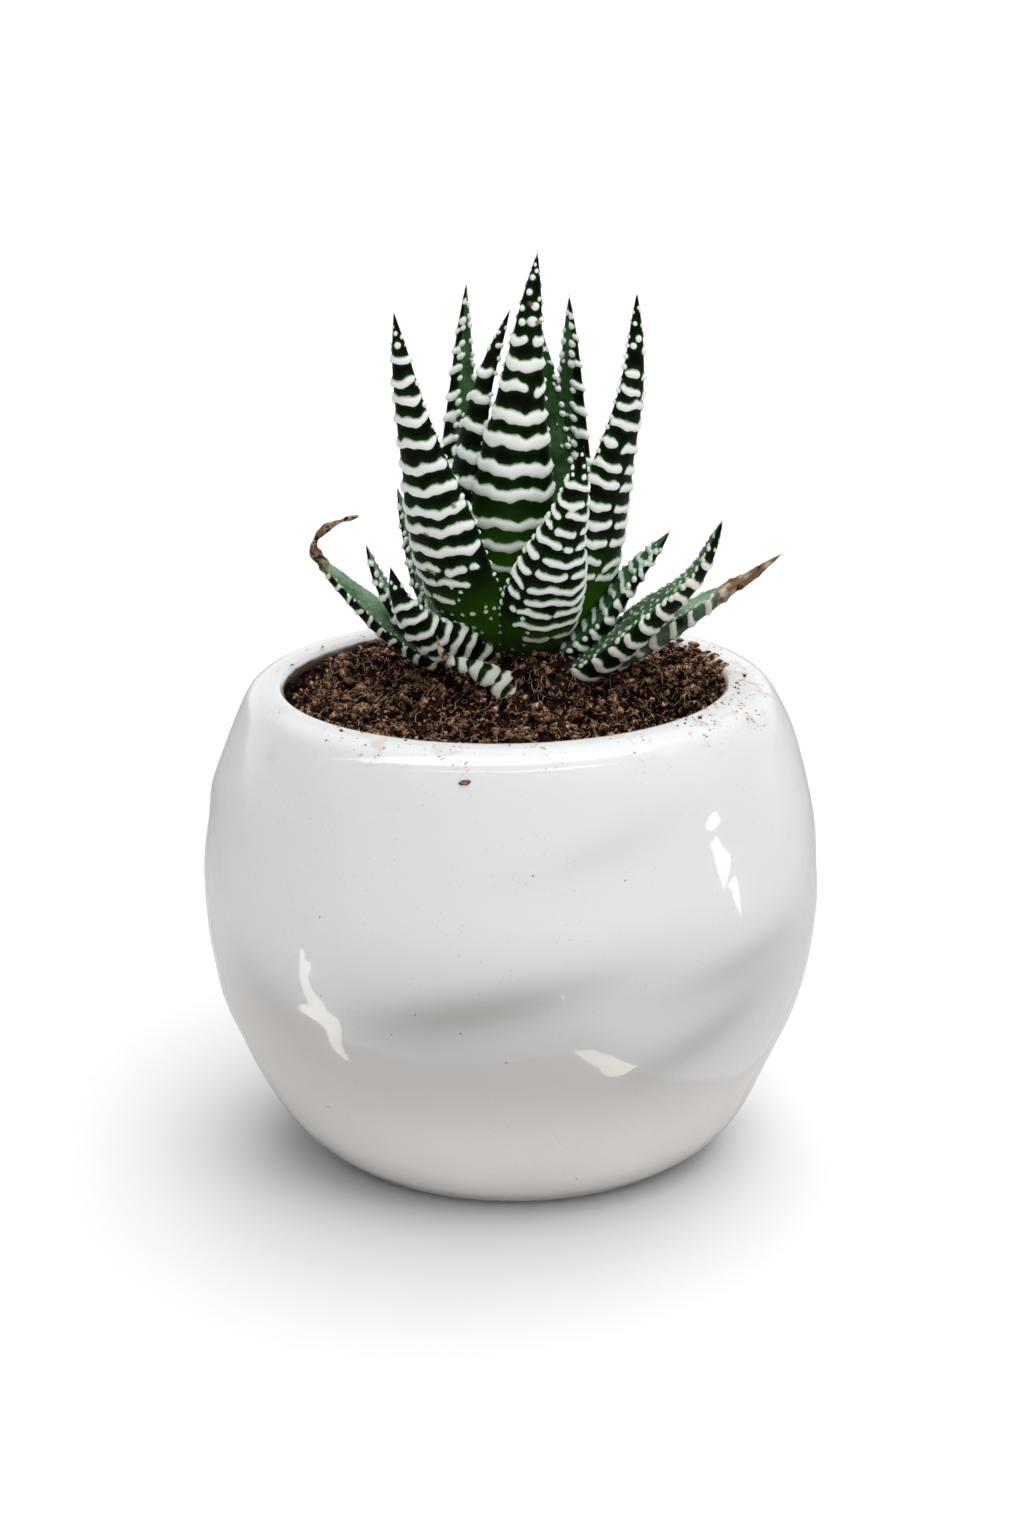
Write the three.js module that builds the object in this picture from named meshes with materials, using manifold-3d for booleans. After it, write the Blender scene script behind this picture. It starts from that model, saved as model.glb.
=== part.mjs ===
// A young zebra haworthia in a round, white glazed pot of potting soil.
// Millimetres, +Z up. The origin is the middle of the pot's foot, on the surface it stands on,
// and -Y is the front of the plant.

import * as THREE from 'three';
import { mergeVertices } from 'three/addons/utils/BufferGeometryUtils.js';
import Module from 'manifold-3d';

const wasm = await Module();
wasm.setup();

// Driving dimensions

const clearance = 0.3;

const pot = {
  height: 73.5,
  segments: 44,
  rings: 13,
  innerRings: 5,
  // radius and height of the outside, from the foot to the crest of the rim
  outside: [
    [26.5, 0], [28.6, 0.8], [32.4, 4], [36.6, 9.2], [41.0, 17.5], [44.6, 27.5],
    [46.4, 42], [45.7, 54], [43.3, 63.4], [40.0, 70.9], [37.6, 73], [34.8, 73.5],
  ],
  // radius and height of the inside, from the lip down to the edge of the floor
  inside: [[33.2, 72.4], [34.2, 70.4], [37.2, 62], [40.0, 50], [39.6, 38], [36.0, 22], [27.0, 9], [20.0, 6.2]],
  floorDepth: 6,
  drainRadius: 4.5,
  // the rim stands this much higher at the right than in the middle
  rimRise: 0.4,
  dentDepth: 0.35,
};

const soil = {
  rings: 8,
  wallRings: 3,
  level: 71.4,
  clod: 0.45,
  // heaps and dips: place, how wide, how high
  heaps: [
    { x: 2.5, y: 1, wide: 17, high: 7 },
    { x: 22, y: 18, wide: 14, high: 1.8 },
    { x: -13, y: 17, wide: 10, high: 3.4 },
    { x: -26, y: 0, wide: 10, high: -1.4 },
  ],
};

const stem = {
  x: 2.5,
  y: 1,
  bottom: 66,
  top: 78,
  radius: 3.4,
  sides: 8,
  rootRadius: 1.4,
  rootTipRadius: 0.5,
  rootRings: 6,
  rootSides: 5,
};

const leafForm = {
  sides: 8,
  thickness: 0.38,
  // share of the thickness on the outer side of the margins
  outerShare: 0.8,
  tipRadius: 0.35,
  // how far the white ridges stand out of the leaf, and how far they wave along it
  ridge: 0.42,
  wave: 0.45,
  threadRadius: 0.5,
};

// Distance from the tip, as a share of the length, and the share of the full width there
const leafTaper = [[0, 0.05], [0.1, 0.2], [0.24, 0.4], [0.38, 0.62], [0.5, 0.85], [0.65, 1], [0.8, 0.95], [1, 0.62]];

// The leaves from the middle of the rosette outwards. Each has its centre line from the stem to the
// tip, its full width, the way its outer face looks, the distance of the first ridge from the tip and
// the distance between ridges. A thread is the length of a tip that has dried to a string.
const leaves = [
  { name: 'leaf_centre', width: 12.5, face: [0, -1, 0], first: 14, pitch: 3.85,
    line: [[1.5, -1, 77], [0.3, -4, 93.5], [0.8, -5.5, 108.5], [2.3, -5.5, 124], [4, -4.5, 138.5]] },
  { name: 'leaf_left_inner', width: 10.5, face: [-0.85, -0.5, 0], first: 10, pitch: 4,
    line: [[-0.5, 1.5, 77.5], [-4, -0.5, 90], [-5.5, -1.5, 103.5], [-4, -1, 116.5], [0, 0.5, 129]] },
  { name: 'leaf_back_left', width: 9.5, face: [-0.5, 0.85, -0.1], first: 7, pitch: 3.7,
    line: [[0.5, 4, 78], [-4.6, 7.5, 91.5], [-7, 10, 104.5], [-7, 11.5, 118], [-6.5, 12, 131]] },
  { name: 'leaf_back_inner', width: 9, face: [0.2, 1, 0], first: 6, pitch: 3.6,
    line: [[2.5, 4, 78], [5.5, 6.5, 90], [6, 8.5, 102], [6, 9.5, 113], [4.7, 9.5, 124.5]] },
  { name: 'leaf_back_right', width: 9.5, face: [0.4, 0.9, 0], first: 7, pitch: 3.6,
    line: [[4, 4, 78], [7, 7, 90], [8.5, 9.5, 103], [9, 11, 116.5], [8.8, 11, 129.5]] },
  { name: 'leaf_front_left', width: 13, face: [-0.6, -0.8, -0.1], first: 5, pitch: 3.3,
    line: [[-0.5, -0.5, 76.5], [-6.5, -6, 88.5], [-10.6, -10, 103], [-14.2, -12.5, 117.5], [-16.5, -13, 131]] },
  { name: 'leaf_right', width: 12.5, face: [0.8, -0.6, 0], first: 5, pitch: 3.05,
    line: [[4, -0.5, 77], [10.2, -4, 89], [13.4, -6.5, 103.5], [17.2, -8, 119], [18.2, -8, 133]] },
  { name: 'leaf_front_right', width: 12.5, face: [0.25, -1, -0.3], first: 5, pitch: 2.8,
    line: [[3.5, -2.5, 77], [5.3, -8.5, 87], [7, -12.5, 96], [9, -15, 104], [10.6, -16, 112.5]] },
  { name: 'leaf_left_small', width: 8, face: [-0.9, 0.6, -0.4], first: 3, pitch: 2.9,
    line: [[-1, 3, 76], [-8.5, 5, 81.5], [-12.5, 7, 87], [-15, 8.5, 93.5], [-17, 9.5, 100.5]] },
  { name: 'leaf_right_low_1', width: 10.5, face: [0.35, 0.25, -1], first: 3, pitch: 2.5,
    line: [[4.5, -1, 76.5], [9.5, -3, 81.5], [14.5, -4, 87], [19, -4.5, 92], [23.5, -4.5, 97]] },
  { name: 'leaf_right_low_2', width: 12.5, face: [0.3, 0.25, -1], first: 3.5, pitch: 2.9,
    line: [[5.5, -1.5, 74.5], [12, -5, 78.7], [19, -7.5, 85], [26.5, -9, 91.6], [31, -9.5, 100]] },
  { name: 'leaf_right_dried', width: 10, face: [0.2, 0.2, -1], first: 5, pitch: 3,
    line: [[6, 0, 74], [15, -1, 78], [23.5, -1.5, 82.7], [32.5, -1.5, 88], [40.5, -1.5, 93]] },
  { name: 'leaf_left_curled', width: 9, face: [-0.3, -0.9, -0.5], first: 3, pitch: 2.6,
    line: [[-0.5, -1.5, 77], [-6.5, -4, 79.5], [-12.5, -7, 83], [-16, -9, 88], [-17.5, -10, 93]] },
  { name: 'leaf_left_low', width: 8.5, face: [-0.3, 0.1, -1], first: 3, pitch: 2.9,
    line: [[-1.5, 1.5, 75], [-8.5, 2, 77.5], [-15, 2, 82], [-19, 2, 87.5], [-21.5, 2, 93.5]] },
  { name: 'leaf_left_dried', width: 9.5, face: [-0.3, 0.25, -1], first: 4, pitch: 2.9, thread: 12,
    line: [[-2, 2, 74], [-10.5, 3, 76.8], [-19, 4, 82], [-27, 4.5, 89], [-29.5, 4.5, 92.5],
      [-27.2, 4, 95.7], [-22.8, 3.5, 97.5]] },
  { name: 'leaf_stub', width: 6.5, face: [-0.1, -0.7, 0.7], first: 1.5, pitch: 2.7, thread: 2.5,
    line: [[3, -2, 72], [4.6, -8, 70.6], [2.2, -12, 73.2], [-3.6, -13, 77.5], [-9.4, -12.7, 80], [-10.2, -12.6, 82]] },
  { name: 'leaf_rear_middle', width: 10, face: [0, 0.6, -0.8], first: 4, pitch: 3.5,
    line: [[2.5, 3.5, 76], [2.5, 10, 81], [2.5, 16, 86], [2.5, 21, 91.5], [2.5, 25, 97]] },
  { name: 'leaf_rear_right', width: 10, face: [0.4, 0.5, -0.8], first: 4, pitch: 3.5,
    line: [[4, 3, 76], [7.5, 9, 80.5], [11, 14.5, 85.5], [13.5, 18.5, 91], [15.5, 21.5, 97]] },
  { name: 'leaf_rear_left', width: 10, face: [-0.4, 0.5, -0.8], first: 4, pitch: 3.5,
    line: [[1, 3, 76], [-2.5, 9, 80.5], [-6, 14.5, 85.5], [-9, 18.5, 91], [-11, 21.5, 97]] },
  { name: 'leaf_rear_low_right', width: 9, face: [0.2, 0.3, -1], first: 3.5, pitch: 3.4,
    line: [[3.5, 3, 74], [7, 11, 77.5], [10, 18, 80.5], [12, 23.5, 83.5], [13, 28, 87]] },
  { name: 'leaf_rear_low_left', width: 9, face: [-0.2, 0.3, -1], first: 3.5, pitch: 3.4,
    line: [[1.5, 3, 74], [-2, 11, 77.5], [-5, 18, 80.5], [-7, 23.5, 83.5], [-8.5, 28, 87]] },
];

// The fleshy roots: the way each one leaves the stem, in degrees, its reach and its depth
const roots = [
  { turn: 20, reach: 19, depth: 22 },
  { turn: 80, reach: 16, depth: 30 },
  { turn: 145, reach: 21, depth: 26 },
  { turn: 205, reach: 14, depth: 34 },
  { turn: 265, reach: 19, depth: 24 },
  { turn: 325, reach: 15, depth: 31 },
];

// Materials

const glaze = new THREE.MeshStandardMaterial({ color: '#eceef0', roughness: 0.12, metalness: 0 });
const peat = new THREE.MeshStandardMaterial({ color: '#3a2219', roughness: 0.95, metalness: 0 });
const rootSkin = new THREE.MeshStandardMaterial({ color: '#b9a27c', roughness: 0.8, metalness: 0 });
const leafSkin = new THREE.MeshStandardMaterial({ color: '#1f4a24', roughness: 0.45, metalness: 0 });

// Shared helpers

function interpolate(table, at) {
  const last = table[table.length - 1];
  if (at >= last[0]) return last[1];
  const next = Math.max(1, table.findIndex((row) => row[0] > at));
  const [x0, y0] = table[next - 1];
  const [x1, y1] = table[next];
  return y0 + ((y1 - y0) * (at - x0)) / (x1 - x0);
}

function closed(geometry) {
  const bare = geometry.clone();
  bare.deleteAttribute('normal');
  bare.deleteAttribute('uv');
  return mergeVertices(bare, 1e-4);
}

function solid(geometry) {
  const merged = closed(geometry);
  const mesh = new wasm.Mesh({
    numProp: 3,
    vertProperties: new Float32Array(merged.attributes.position.array),
    triVerts: new Uint32Array(merged.index.array),
  });
  return new wasm.Manifold(mesh);
}

function largest(body) {
  return body.decompose().reduce((best, piece) => (piece.volume() > best.volume() ? piece : best));
}

function geometryOf(body) {
  const cut = body.getMesh();
  const geometry = new THREE.BufferGeometry();
  geometry.setAttribute('position', new THREE.BufferAttribute(new Float32Array(cut.vertProperties), 3));
  geometry.setIndex(new THREE.BufferAttribute(new Uint32Array(cut.triVerts), 1));
  geometry.computeVertexNormals();
  return geometry;
}

function named(name, geometry, material) {
  const mesh = new THREE.Mesh(geometry, material.clone());
  mesh.name = name;
  return mesh;
}

// A tube drawn out of a cylinder: place(turn, radius, step) gives the point of the ring
// at a step from the start, at a turn in radians and a share of the full radius.
function swept(sides, steps, place) {
  const geometry = new THREE.CylinderGeometry(1, 1, 1, sides, steps);
  const points = geometry.attributes.position;
  for (let i = 0; i < points.count; i += 1) {
    const turn = Math.atan2(points.getZ(i), points.getX(i));
    const radius = Math.round(Math.hypot(points.getX(i), points.getZ(i)));
    const step = Math.round((0.5 - points.getY(i)) * steps);
    const p = place(turn, radius, step);
    points.setXYZ(i, p.x, p.y, p.z);
  }
  return geometry;
}

// The pot

// Everything the pot's wall holds in rises a little towards the right, as the rim does
function tilt(x, z) {
  return z + (pot.rimRise * (z / pot.height) * x) / pot.outside[pot.outside.length - 1][0];
}

// Shallow dents and ridges left by the hand that shaped the wall
function dent(turn, z) {
  const fade = Math.sin(Math.PI * Math.min(1, z / pot.height)) ** 2;
  const swell = Math.sin(2 * turn + z / 9) + 0.6 * Math.sin(5 * turn - z / 6);
  return pot.dentDepth * fade * swell * Math.abs(Math.cos(turn - Math.PI / 2)) * Math.abs(Math.sin(2 * turn));
}

function smoothed(rows, steps) {
  return new THREE.SplineCurve(rows.map(([r, z]) => new THREE.Vector2(r, z))).getSpacedPoints(steps);
}

const innerWall = smoothed(pot.inside, pot.innerRings);

function potGeometry() {
  const profile = [
    new THREE.Vector2(pot.drainRadius, 0),
    new THREE.Vector2(pot.outside[0][0], 0),
    ...smoothed(pot.outside.slice(1), pot.rings),
    ...innerWall,
    new THREE.Vector2(pot.drainRadius, pot.floorDepth),
    new THREE.Vector2(pot.drainRadius, 0),
  ];
  const geometry = new THREE.LatheGeometry(profile, pot.segments);
  geometry.rotateX(Math.PI / 2);
  const points = geometry.attributes.position;
  const outsideEnd = 2 + pot.rings;
  for (let i = 0; i < points.count; i += 1) {
    const [x, y, z] = [points.getX(i), points.getY(i), points.getZ(i)];
    const isOutside = i % profile.length >= 2 && i % profile.length < outsideEnd;
    const radius = Math.hypot(x, y);
    const grown = isOutside ? (radius + dent(Math.atan2(y, x), z)) / radius : 1;
    points.setXYZ(i, x * grown, y * grown, tilt(x, z));
  }
  return geometry;
}

// The soil

const wallTable = innerWall.map((p) => [p.y, p.x]).reverse();

function soilTop(x, y) {
  const heap = (h) => h.high * Math.exp(-((Math.hypot(x - h.x, y - h.y) / h.wide) ** 2));
  const heaped = soil.heaps.reduce((sum, h) => sum + heap(h), soil.level);
  const clods = Math.sin(1.1 * x + 2 * Math.sin(0.5 * y)) * Math.sin(0.9 * y + 1.5 * Math.sin(0.7 * x));
  return heaped + soil.clod * clods;
}

function soilWall(z) {
  return interpolate(wallTable, z) - clearance;
}

function soilGeometry() {
  const floor = pot.floorDepth + clearance;
  const count = soil.rings + soil.wallRings + 1;
  const profile = Array.from({ length: count + 1 }, (_, i) => new THREE.Vector2(i === 0 || i === count ? 0 : 1, i));
  const geometry = new THREE.LatheGeometry(profile, pot.segments);
  geometry.rotateX(Math.PI / 2);
  const points = geometry.attributes.position;
  for (let i = 0; i < points.count; i += 1) {
    const row = count - (i % profile.length);
    const turn = Math.atan2(points.getY(i), points.getX(i));
    const [cx, cy] = [Math.cos(turn), Math.sin(turn)];
    const edge = soilWall(soilTop(33 * cx, 33 * cy));
    const brim = soilTop(edge * cx, edge * cy);
    let radius = (edge * row) / soil.rings;
    let z = soilTop(radius * cx, radius * cy);
    if (row > soil.rings) {
      const down = (row - soil.rings) / soil.wallRings;
      z = brim + (floor - brim) * Math.min(1, down);
      radius = down > 1 ? 0 : soilWall(Math.max(z, wallTable[0][0]));
    }
    points.setXYZ(i, radius * cx, radius * cy, tilt(radius * cx, z));
  }
  return geometry;
}

// The stem and its roots

function rootCurve(root) {
  const turn = THREE.MathUtils.degToRad(root.turn);
  const along = (reach, depth) => new THREE.Vector3(
    stem.x + reach * Math.cos(turn), stem.y + reach * Math.sin(turn), stem.bottom + 3 - depth);
  return new THREE.CatmullRomCurve3([
    along(0, 0),
    along(root.reach * 0.5, root.depth * 0.2),
    along(root.reach * 0.85, root.depth * 0.6),
    along(root.reach, root.depth),
  ]);
}

function rootGeometry(root, grow) {
  const curve = rootCurve(root);
  const frames = curve.computeFrenetFrames(stem.rootRings, false);
  return swept(stem.rootSides, stem.rootRings, (turn, radius, step) => {
    const t = step / stem.rootRings;
    const thick = THREE.MathUtils.lerp(stem.rootRadius, stem.rootTipRadius, t) + grow;
    const end = step === stem.rootRings ? grow : 0;
    return curve.getPointAt(t)
      .addScaledVector(frames.normals[step], radius * thick * Math.cos(turn))
      .addScaledVector(frames.binormals[step], radius * thick * Math.sin(turn))
      .addScaledVector(frames.tangents[step], end);
  });
}

function stemGeometry(grow) {
  const { bottom, top, radius } = stem;
  const profile = [
    [0, bottom - grow], [radius * 0.6 + grow, bottom - grow], [radius + grow, bottom + 2],
    [radius + grow, top - 3], [radius * 0.55 + grow, top - 0.8 + grow], [0, top + grow],
  ];
  const geometry = new THREE.LatheGeometry(profile.map(([r, z]) => new THREE.Vector2(r, z)), stem.sides);
  geometry.rotateX(Math.PI / 2);
  geometry.translate(stem.x, stem.y, 0);
  return geometry;
}

function stemSolid(grow) {
  return roots.reduce((sum, root) => sum.add(solid(rootGeometry(root, grow))), solid(stemGeometry(grow)));
}

// The leaves

// Distances from the tip at which a leaf's rings lie: two for each ridge, its crest and the dip after it
function leafRings(leaf, length) {
  const rings = [0];
  if (leaf.thread) rings.push(leaf.thread * 0.25, leaf.thread * 0.5, leaf.thread * 0.75, leaf.thread);
  const start = (leaf.thread || 0) + leaf.first;
  rings.push((leaf.thread || 0) + leaf.first * 0.5);
  for (let at = start; at < length - 0.3 * leaf.pitch; at += leaf.pitch / 2) rings.push(at);
  rings.push(length);
  return rings;
}

function leafGeometry(leaf, grow) {
  const isCutter = grow > 0;
  const curve = new THREE.CatmullRomCurve3(leaf.line.map((p) => new THREE.Vector3(...p)), false, 'catmullrom', 0.5);
  curve.arcLengthDivisions = 400;
  const length = curve.getLength();
  const thread = leaf.thread || 0;
  const everyRing = leafRings(leaf, length);
  const isPlain = isCutter && !leaf.thread;
  const rings = isPlain ? everyRing.filter((_, i, all) => i % 2 === 0 || i === all.length - 1) : everyRing;
  const face = new THREE.Vector3(...leaf.face);
  const frames = rings.map((fromTip) => {
    const at = 1 - fromTip / length;
    const along = curve.getTangentAt(at);
    const out = face.clone().addScaledVector(along, -face.dot(along)).normalize();
    return { point: curve.getPointAt(at), along, out, side: new THREE.Vector3().crossVectors(along, out) };
  });
  return swept(leafForm.sides, rings.length - 1, (turn, radius, step) => {
    const fromTip = rings[step];
    const { point, along, out, side } = frames[step];
    const share = interpolate(leafTaper, Math.max(0, fromTip - thread) / (length - thread));
    const isThread = fromTip < thread;
    const half = isThread ? leafForm.threadRadius : Math.max(leafForm.tipRadius, 0.5 * leaf.width * share);
    const full = leafForm.thickness * leaf.width * share ** 0.75;
    const thick = isThread ? 2 * leafForm.threadRadius : Math.max(2 * leafForm.tipRadius, full);
    const [c, s] = [Math.cos(turn), Math.sin(turn)];
    const outward = s > 0 ? leafForm.outerShare : 1 - leafForm.outerShare;
    const ridgesPassed = (fromTip - thread - leaf.first) / leaf.pitch;
    const isRidge = Math.abs(ridgesPassed - Math.round(ridgesPassed)) < 0.25;
    const isBanded = !isThread && fromTip >= thread + leaf.first;
    const faceShare = 0.7 + 0.3 * s;
    const rise = isBanded && (isRidge || isCutter) ? leafForm.ridge * faceShare : 0;
    const waved = isBanded && isRidge && !isCutter ? leafForm.wave * Math.sin(3 * turn + 1.7 * step) : 0;
    const isEnd = step === 0 || step === rings.length - 1;
    const endward = isEnd ? (step === 0 ? grow : -grow) : 0;
    return point.clone()
      .addScaledVector(side, radius * (half + rise + grow) * c)
      .addScaledVector(out, radius * (thick * outward + rise + grow) * s)
      .addScaledVector(along, endward + (isEnd ? 0 : waved));
  });
}

// Assembly: each leaf makes room for the stem and for the leaves nearer to the middle,
// and the soil makes room for all of them

const group = new THREE.Group();
group.name = 'potted_haworthia';
group.add(named('pot', closed(potGeometry()), glaze));
group.add(named('stem_with_roots', geometryOf(stemSolid(0)), rootSkin));

const stemRoom = stemSolid(clearance);
let taken = stemRoom;
for (const leaf of leaves) {
  const body = largest(solid(leafGeometry(leaf, 0)).subtract(taken));
  group.add(named(leaf.name, geometryOf(body), leafSkin));
  taken = taken.add(solid(leafGeometry(leaf, clearance)));
}
group.add(named('soil', geometryOf(largest(solid(soilGeometry()).subtract(taken))), peat));

export default group;
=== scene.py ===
"""A young zebra haworthia in a round white glazed pot of potting soil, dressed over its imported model.

Sizes are in millimetres and turned into metres by MM. -Y is the front of the plant.
"""

import bpy
import numpy as np
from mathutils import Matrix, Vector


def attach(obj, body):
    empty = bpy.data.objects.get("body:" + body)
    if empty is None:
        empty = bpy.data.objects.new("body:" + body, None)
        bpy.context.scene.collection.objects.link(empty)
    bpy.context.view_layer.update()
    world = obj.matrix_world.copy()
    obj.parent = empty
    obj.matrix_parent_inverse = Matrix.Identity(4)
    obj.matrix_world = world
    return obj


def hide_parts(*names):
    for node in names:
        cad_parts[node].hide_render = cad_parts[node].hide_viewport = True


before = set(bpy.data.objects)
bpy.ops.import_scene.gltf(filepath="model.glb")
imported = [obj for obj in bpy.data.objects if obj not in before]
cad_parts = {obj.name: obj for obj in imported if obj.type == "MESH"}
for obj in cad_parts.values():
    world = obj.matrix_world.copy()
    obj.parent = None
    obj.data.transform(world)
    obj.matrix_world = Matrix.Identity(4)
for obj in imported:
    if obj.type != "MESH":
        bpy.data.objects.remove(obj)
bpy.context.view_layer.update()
MM = 0.001


# The pot
# One piece of stoneware, thrown and then pressed by hand, so its wall is a little uneven. It is
# dipped in white glaze all over but for the foot ring that it stands on, and has one drain hole.

pot_outside = [
    (28.6, 0.8), (32.4, 4), (36.6, 9.2), (41.0, 17.5), (44.6, 27.5), (46.4, 42),
    (45.7, 54), (43.3, 63.4), (40.0, 70.9), (37.6, 73), (34.8, 73.5),
]
pot_inside = [
    (33.2, 72.4), (34.2, 70.4), (37.2, 62), (40.0, 50), (39.6, 38), (36.0, 22), (27.0, 9), (20.0, 6.2),
]
pot_height = 73.5
crest_radius = 34.8
foot_radius = 26.5
drain_radius = 4.5
floor_depth = 6.0
rim_rise = 0.4
mouth_aside = -0.9
neck_low, neck_high, neck_middle = 50, 70, 60
pot_turns = 256
mean_radius = 45
swell_height, swell_reach = 31, 19
# Dents left by fingers: turn from the front in degrees, height, half length round the wall, half width,
# rise to the right in degrees, and how far the wall steps in below the dent
finger_dents = [
    (-7, 36.8, 18, 3.8, 13, 1.0), (40, 29.5, 13, 3.6, 20, 0.7), (48, 39.5, 12, 3.0, 8, 0.5),
    (19, 60, 11, 3.0, 14, 0.16), (-51, 33, 9, 4.0, -25, 0.4), (-57, 68.2, 1.5, 1.5, 0, 0.15),
    (100, 50, 16, 4.5, 12, 0.6), (140, 31, 14, 4.0, -8, 0.7), (185, 46, 16, 4.5, 15, 0.7),
    (228, 34, 14, 4.0, -12, 0.7), (262, 54, 15, 4.0, 10, 0.5),
]
# Wavy line of a painted reflection on the glaze, with the warm table mirrored under it and the darker
# surroundings above:
# turn from the front in degrees, and height. How far above and below it the paint tells the height
reflection_line = [
    (-180, 30), (-140, 25), (-100, 32), (-48, 34), (-31, 29.6), (-8, 29.2), (10, 30.8), (22, 26.6),
    (41, 21.7), (60, 19.5), (100, 26), (140, 33), (180, 30),
]
reflection_line_reach = 10
# Soil smeared on the glaze: turn from the front in degrees, height, reach, and strength
soil_smears = [
    (-64, 72.9, 3.2, 0.8), (-23, 70.4, 3.0, 0.6), (-30, 73.2, 4.0, 0.9), (-12, 73.4, 5.0, 0.8),
    (-42, 73.4, 4.0, 0.9), (8, 73.4, 5.0, 0.6), (28, 73.4, 4.0, 0.9), (48, 73.6, 5.0, 1.2),
    (66, 73.7, 5.5, 1.6), (84, 73.8, 5.5, 1.6), (98, 73.6, 4.5, 1.5), (-5, 70.0, 2.4, 0.6),
    (120, 73.6, 5, 0.8), (160, 73.4, 6, 0.6), (-100, 73.3, 5, 0.6), (-140, 73.4, 5, 0.6),
]


def spline(points, steps):
    """Evenly spaced points on the smooth curve through the given ones, which leaves its ends straight on."""
    knots = np.array(points, float)
    padded = np.vstack([2 * knots[0] - knots[1], knots, 2 * knots[-1] - knots[-2]])
    t = np.linspace(0, len(knots) - 1, 40 * len(knots))
    i = np.minimum(t.astype(int), len(knots) - 2)
    w = (t - i)[:, None]
    before, start, end, after = padded[i], padded[i + 1], padded[i + 2], padded[i + 3]
    leave, arrive = (end - before) / 2, (after - start) / 2
    cubic = (2 * start - 2 * end + leave + arrive) * w**3
    square = (3 * end - 3 * start - 2 * leave - arrive) * w**2
    curve = cubic + square + leave * w + start
    run = np.concatenate([[0], np.cumsum(np.linalg.norm(np.diff(curve, axis=0), axis=1))])
    even = np.linspace(0, run[-1], steps + 1)
    return np.stack([np.interp(even, run, curve[:, k]) for k in range(knots.shape[1])], 1)


def hashed(x, y, z, seed):
    """A repeatable number between 0 and 1 for each whole-numbered place."""
    n = x * 374761393 + y * 668265263 + z * 1442695041 + seed * 974634777
    n = (n ^ (n >> 13)) * 1274126177
    return ((n ^ (n >> 16)) & 65535) / 65535


def noise(x, y, z, seed):
    """Smooth noise between -1 and 1 with lumps about one unit wide."""
    corner = [np.floor(c).astype(np.int64) for c in (x, y, z)]
    rest = [c - f for c, f in zip((x, y, z), corner)]
    ease = [r * r * (3 - 2 * r) for r in rest]
    total = 0
    for dx in (0, 1):
        for dy in (0, 1):
            for dz in (0, 1):
                weight = 1
                for e, d in zip(ease, (dx, dy, dz)):
                    weight = weight * (e if d else 1 - e)
                total = total + weight * hashed(corner[0] + dx, corner[1] + dy, corner[2] + dz, seed)
    return 2 * total - 1


def tilt(x, z):
    """Height of a point of the pot, whose rim stands a little higher at the right."""
    return z + rim_rise * (z / pot_height) * x / crest_radius


def add_object(name, data):
    """Put a new object of this mesh, lamp or camera in the scene."""
    made = bpy.data.objects.new(name, data)
    bpy.context.scene.collection.objects.link(made)
    return made


def piece(name, vertices, faces, material, slot, replaced=()):
    """A smooth mesh piece from points in millimetres, riding on the one body."""
    mesh = bpy.data.meshes.new(name)
    mesh.from_pydata((np.asarray(vertices) * MM).tolist(), [], faces)
    mesh.polygons.foreach_set("use_smooth", [True] * len(mesh.polygons))
    mesh.materials.append(material)
    mesh.update()
    made = add_object(name, mesh)
    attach(made, "root")
    if replaced:
        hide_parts(*replaced)
    return made


def ring_faces(rows, around, closed=False):
    """Four-sided faces between rows of points that go all the way round."""
    a = np.arange(around)
    b = (a + 1) % around
    last = rows if closed else rows - 1
    quads = []
    for row in range(last):
        here, there = row * around, ((row + 1) % rows) * around
        quads.append(np.stack([here + a, here + b, there + b, there + a], 1))
    return np.concatenate(quads).tolist()


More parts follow.
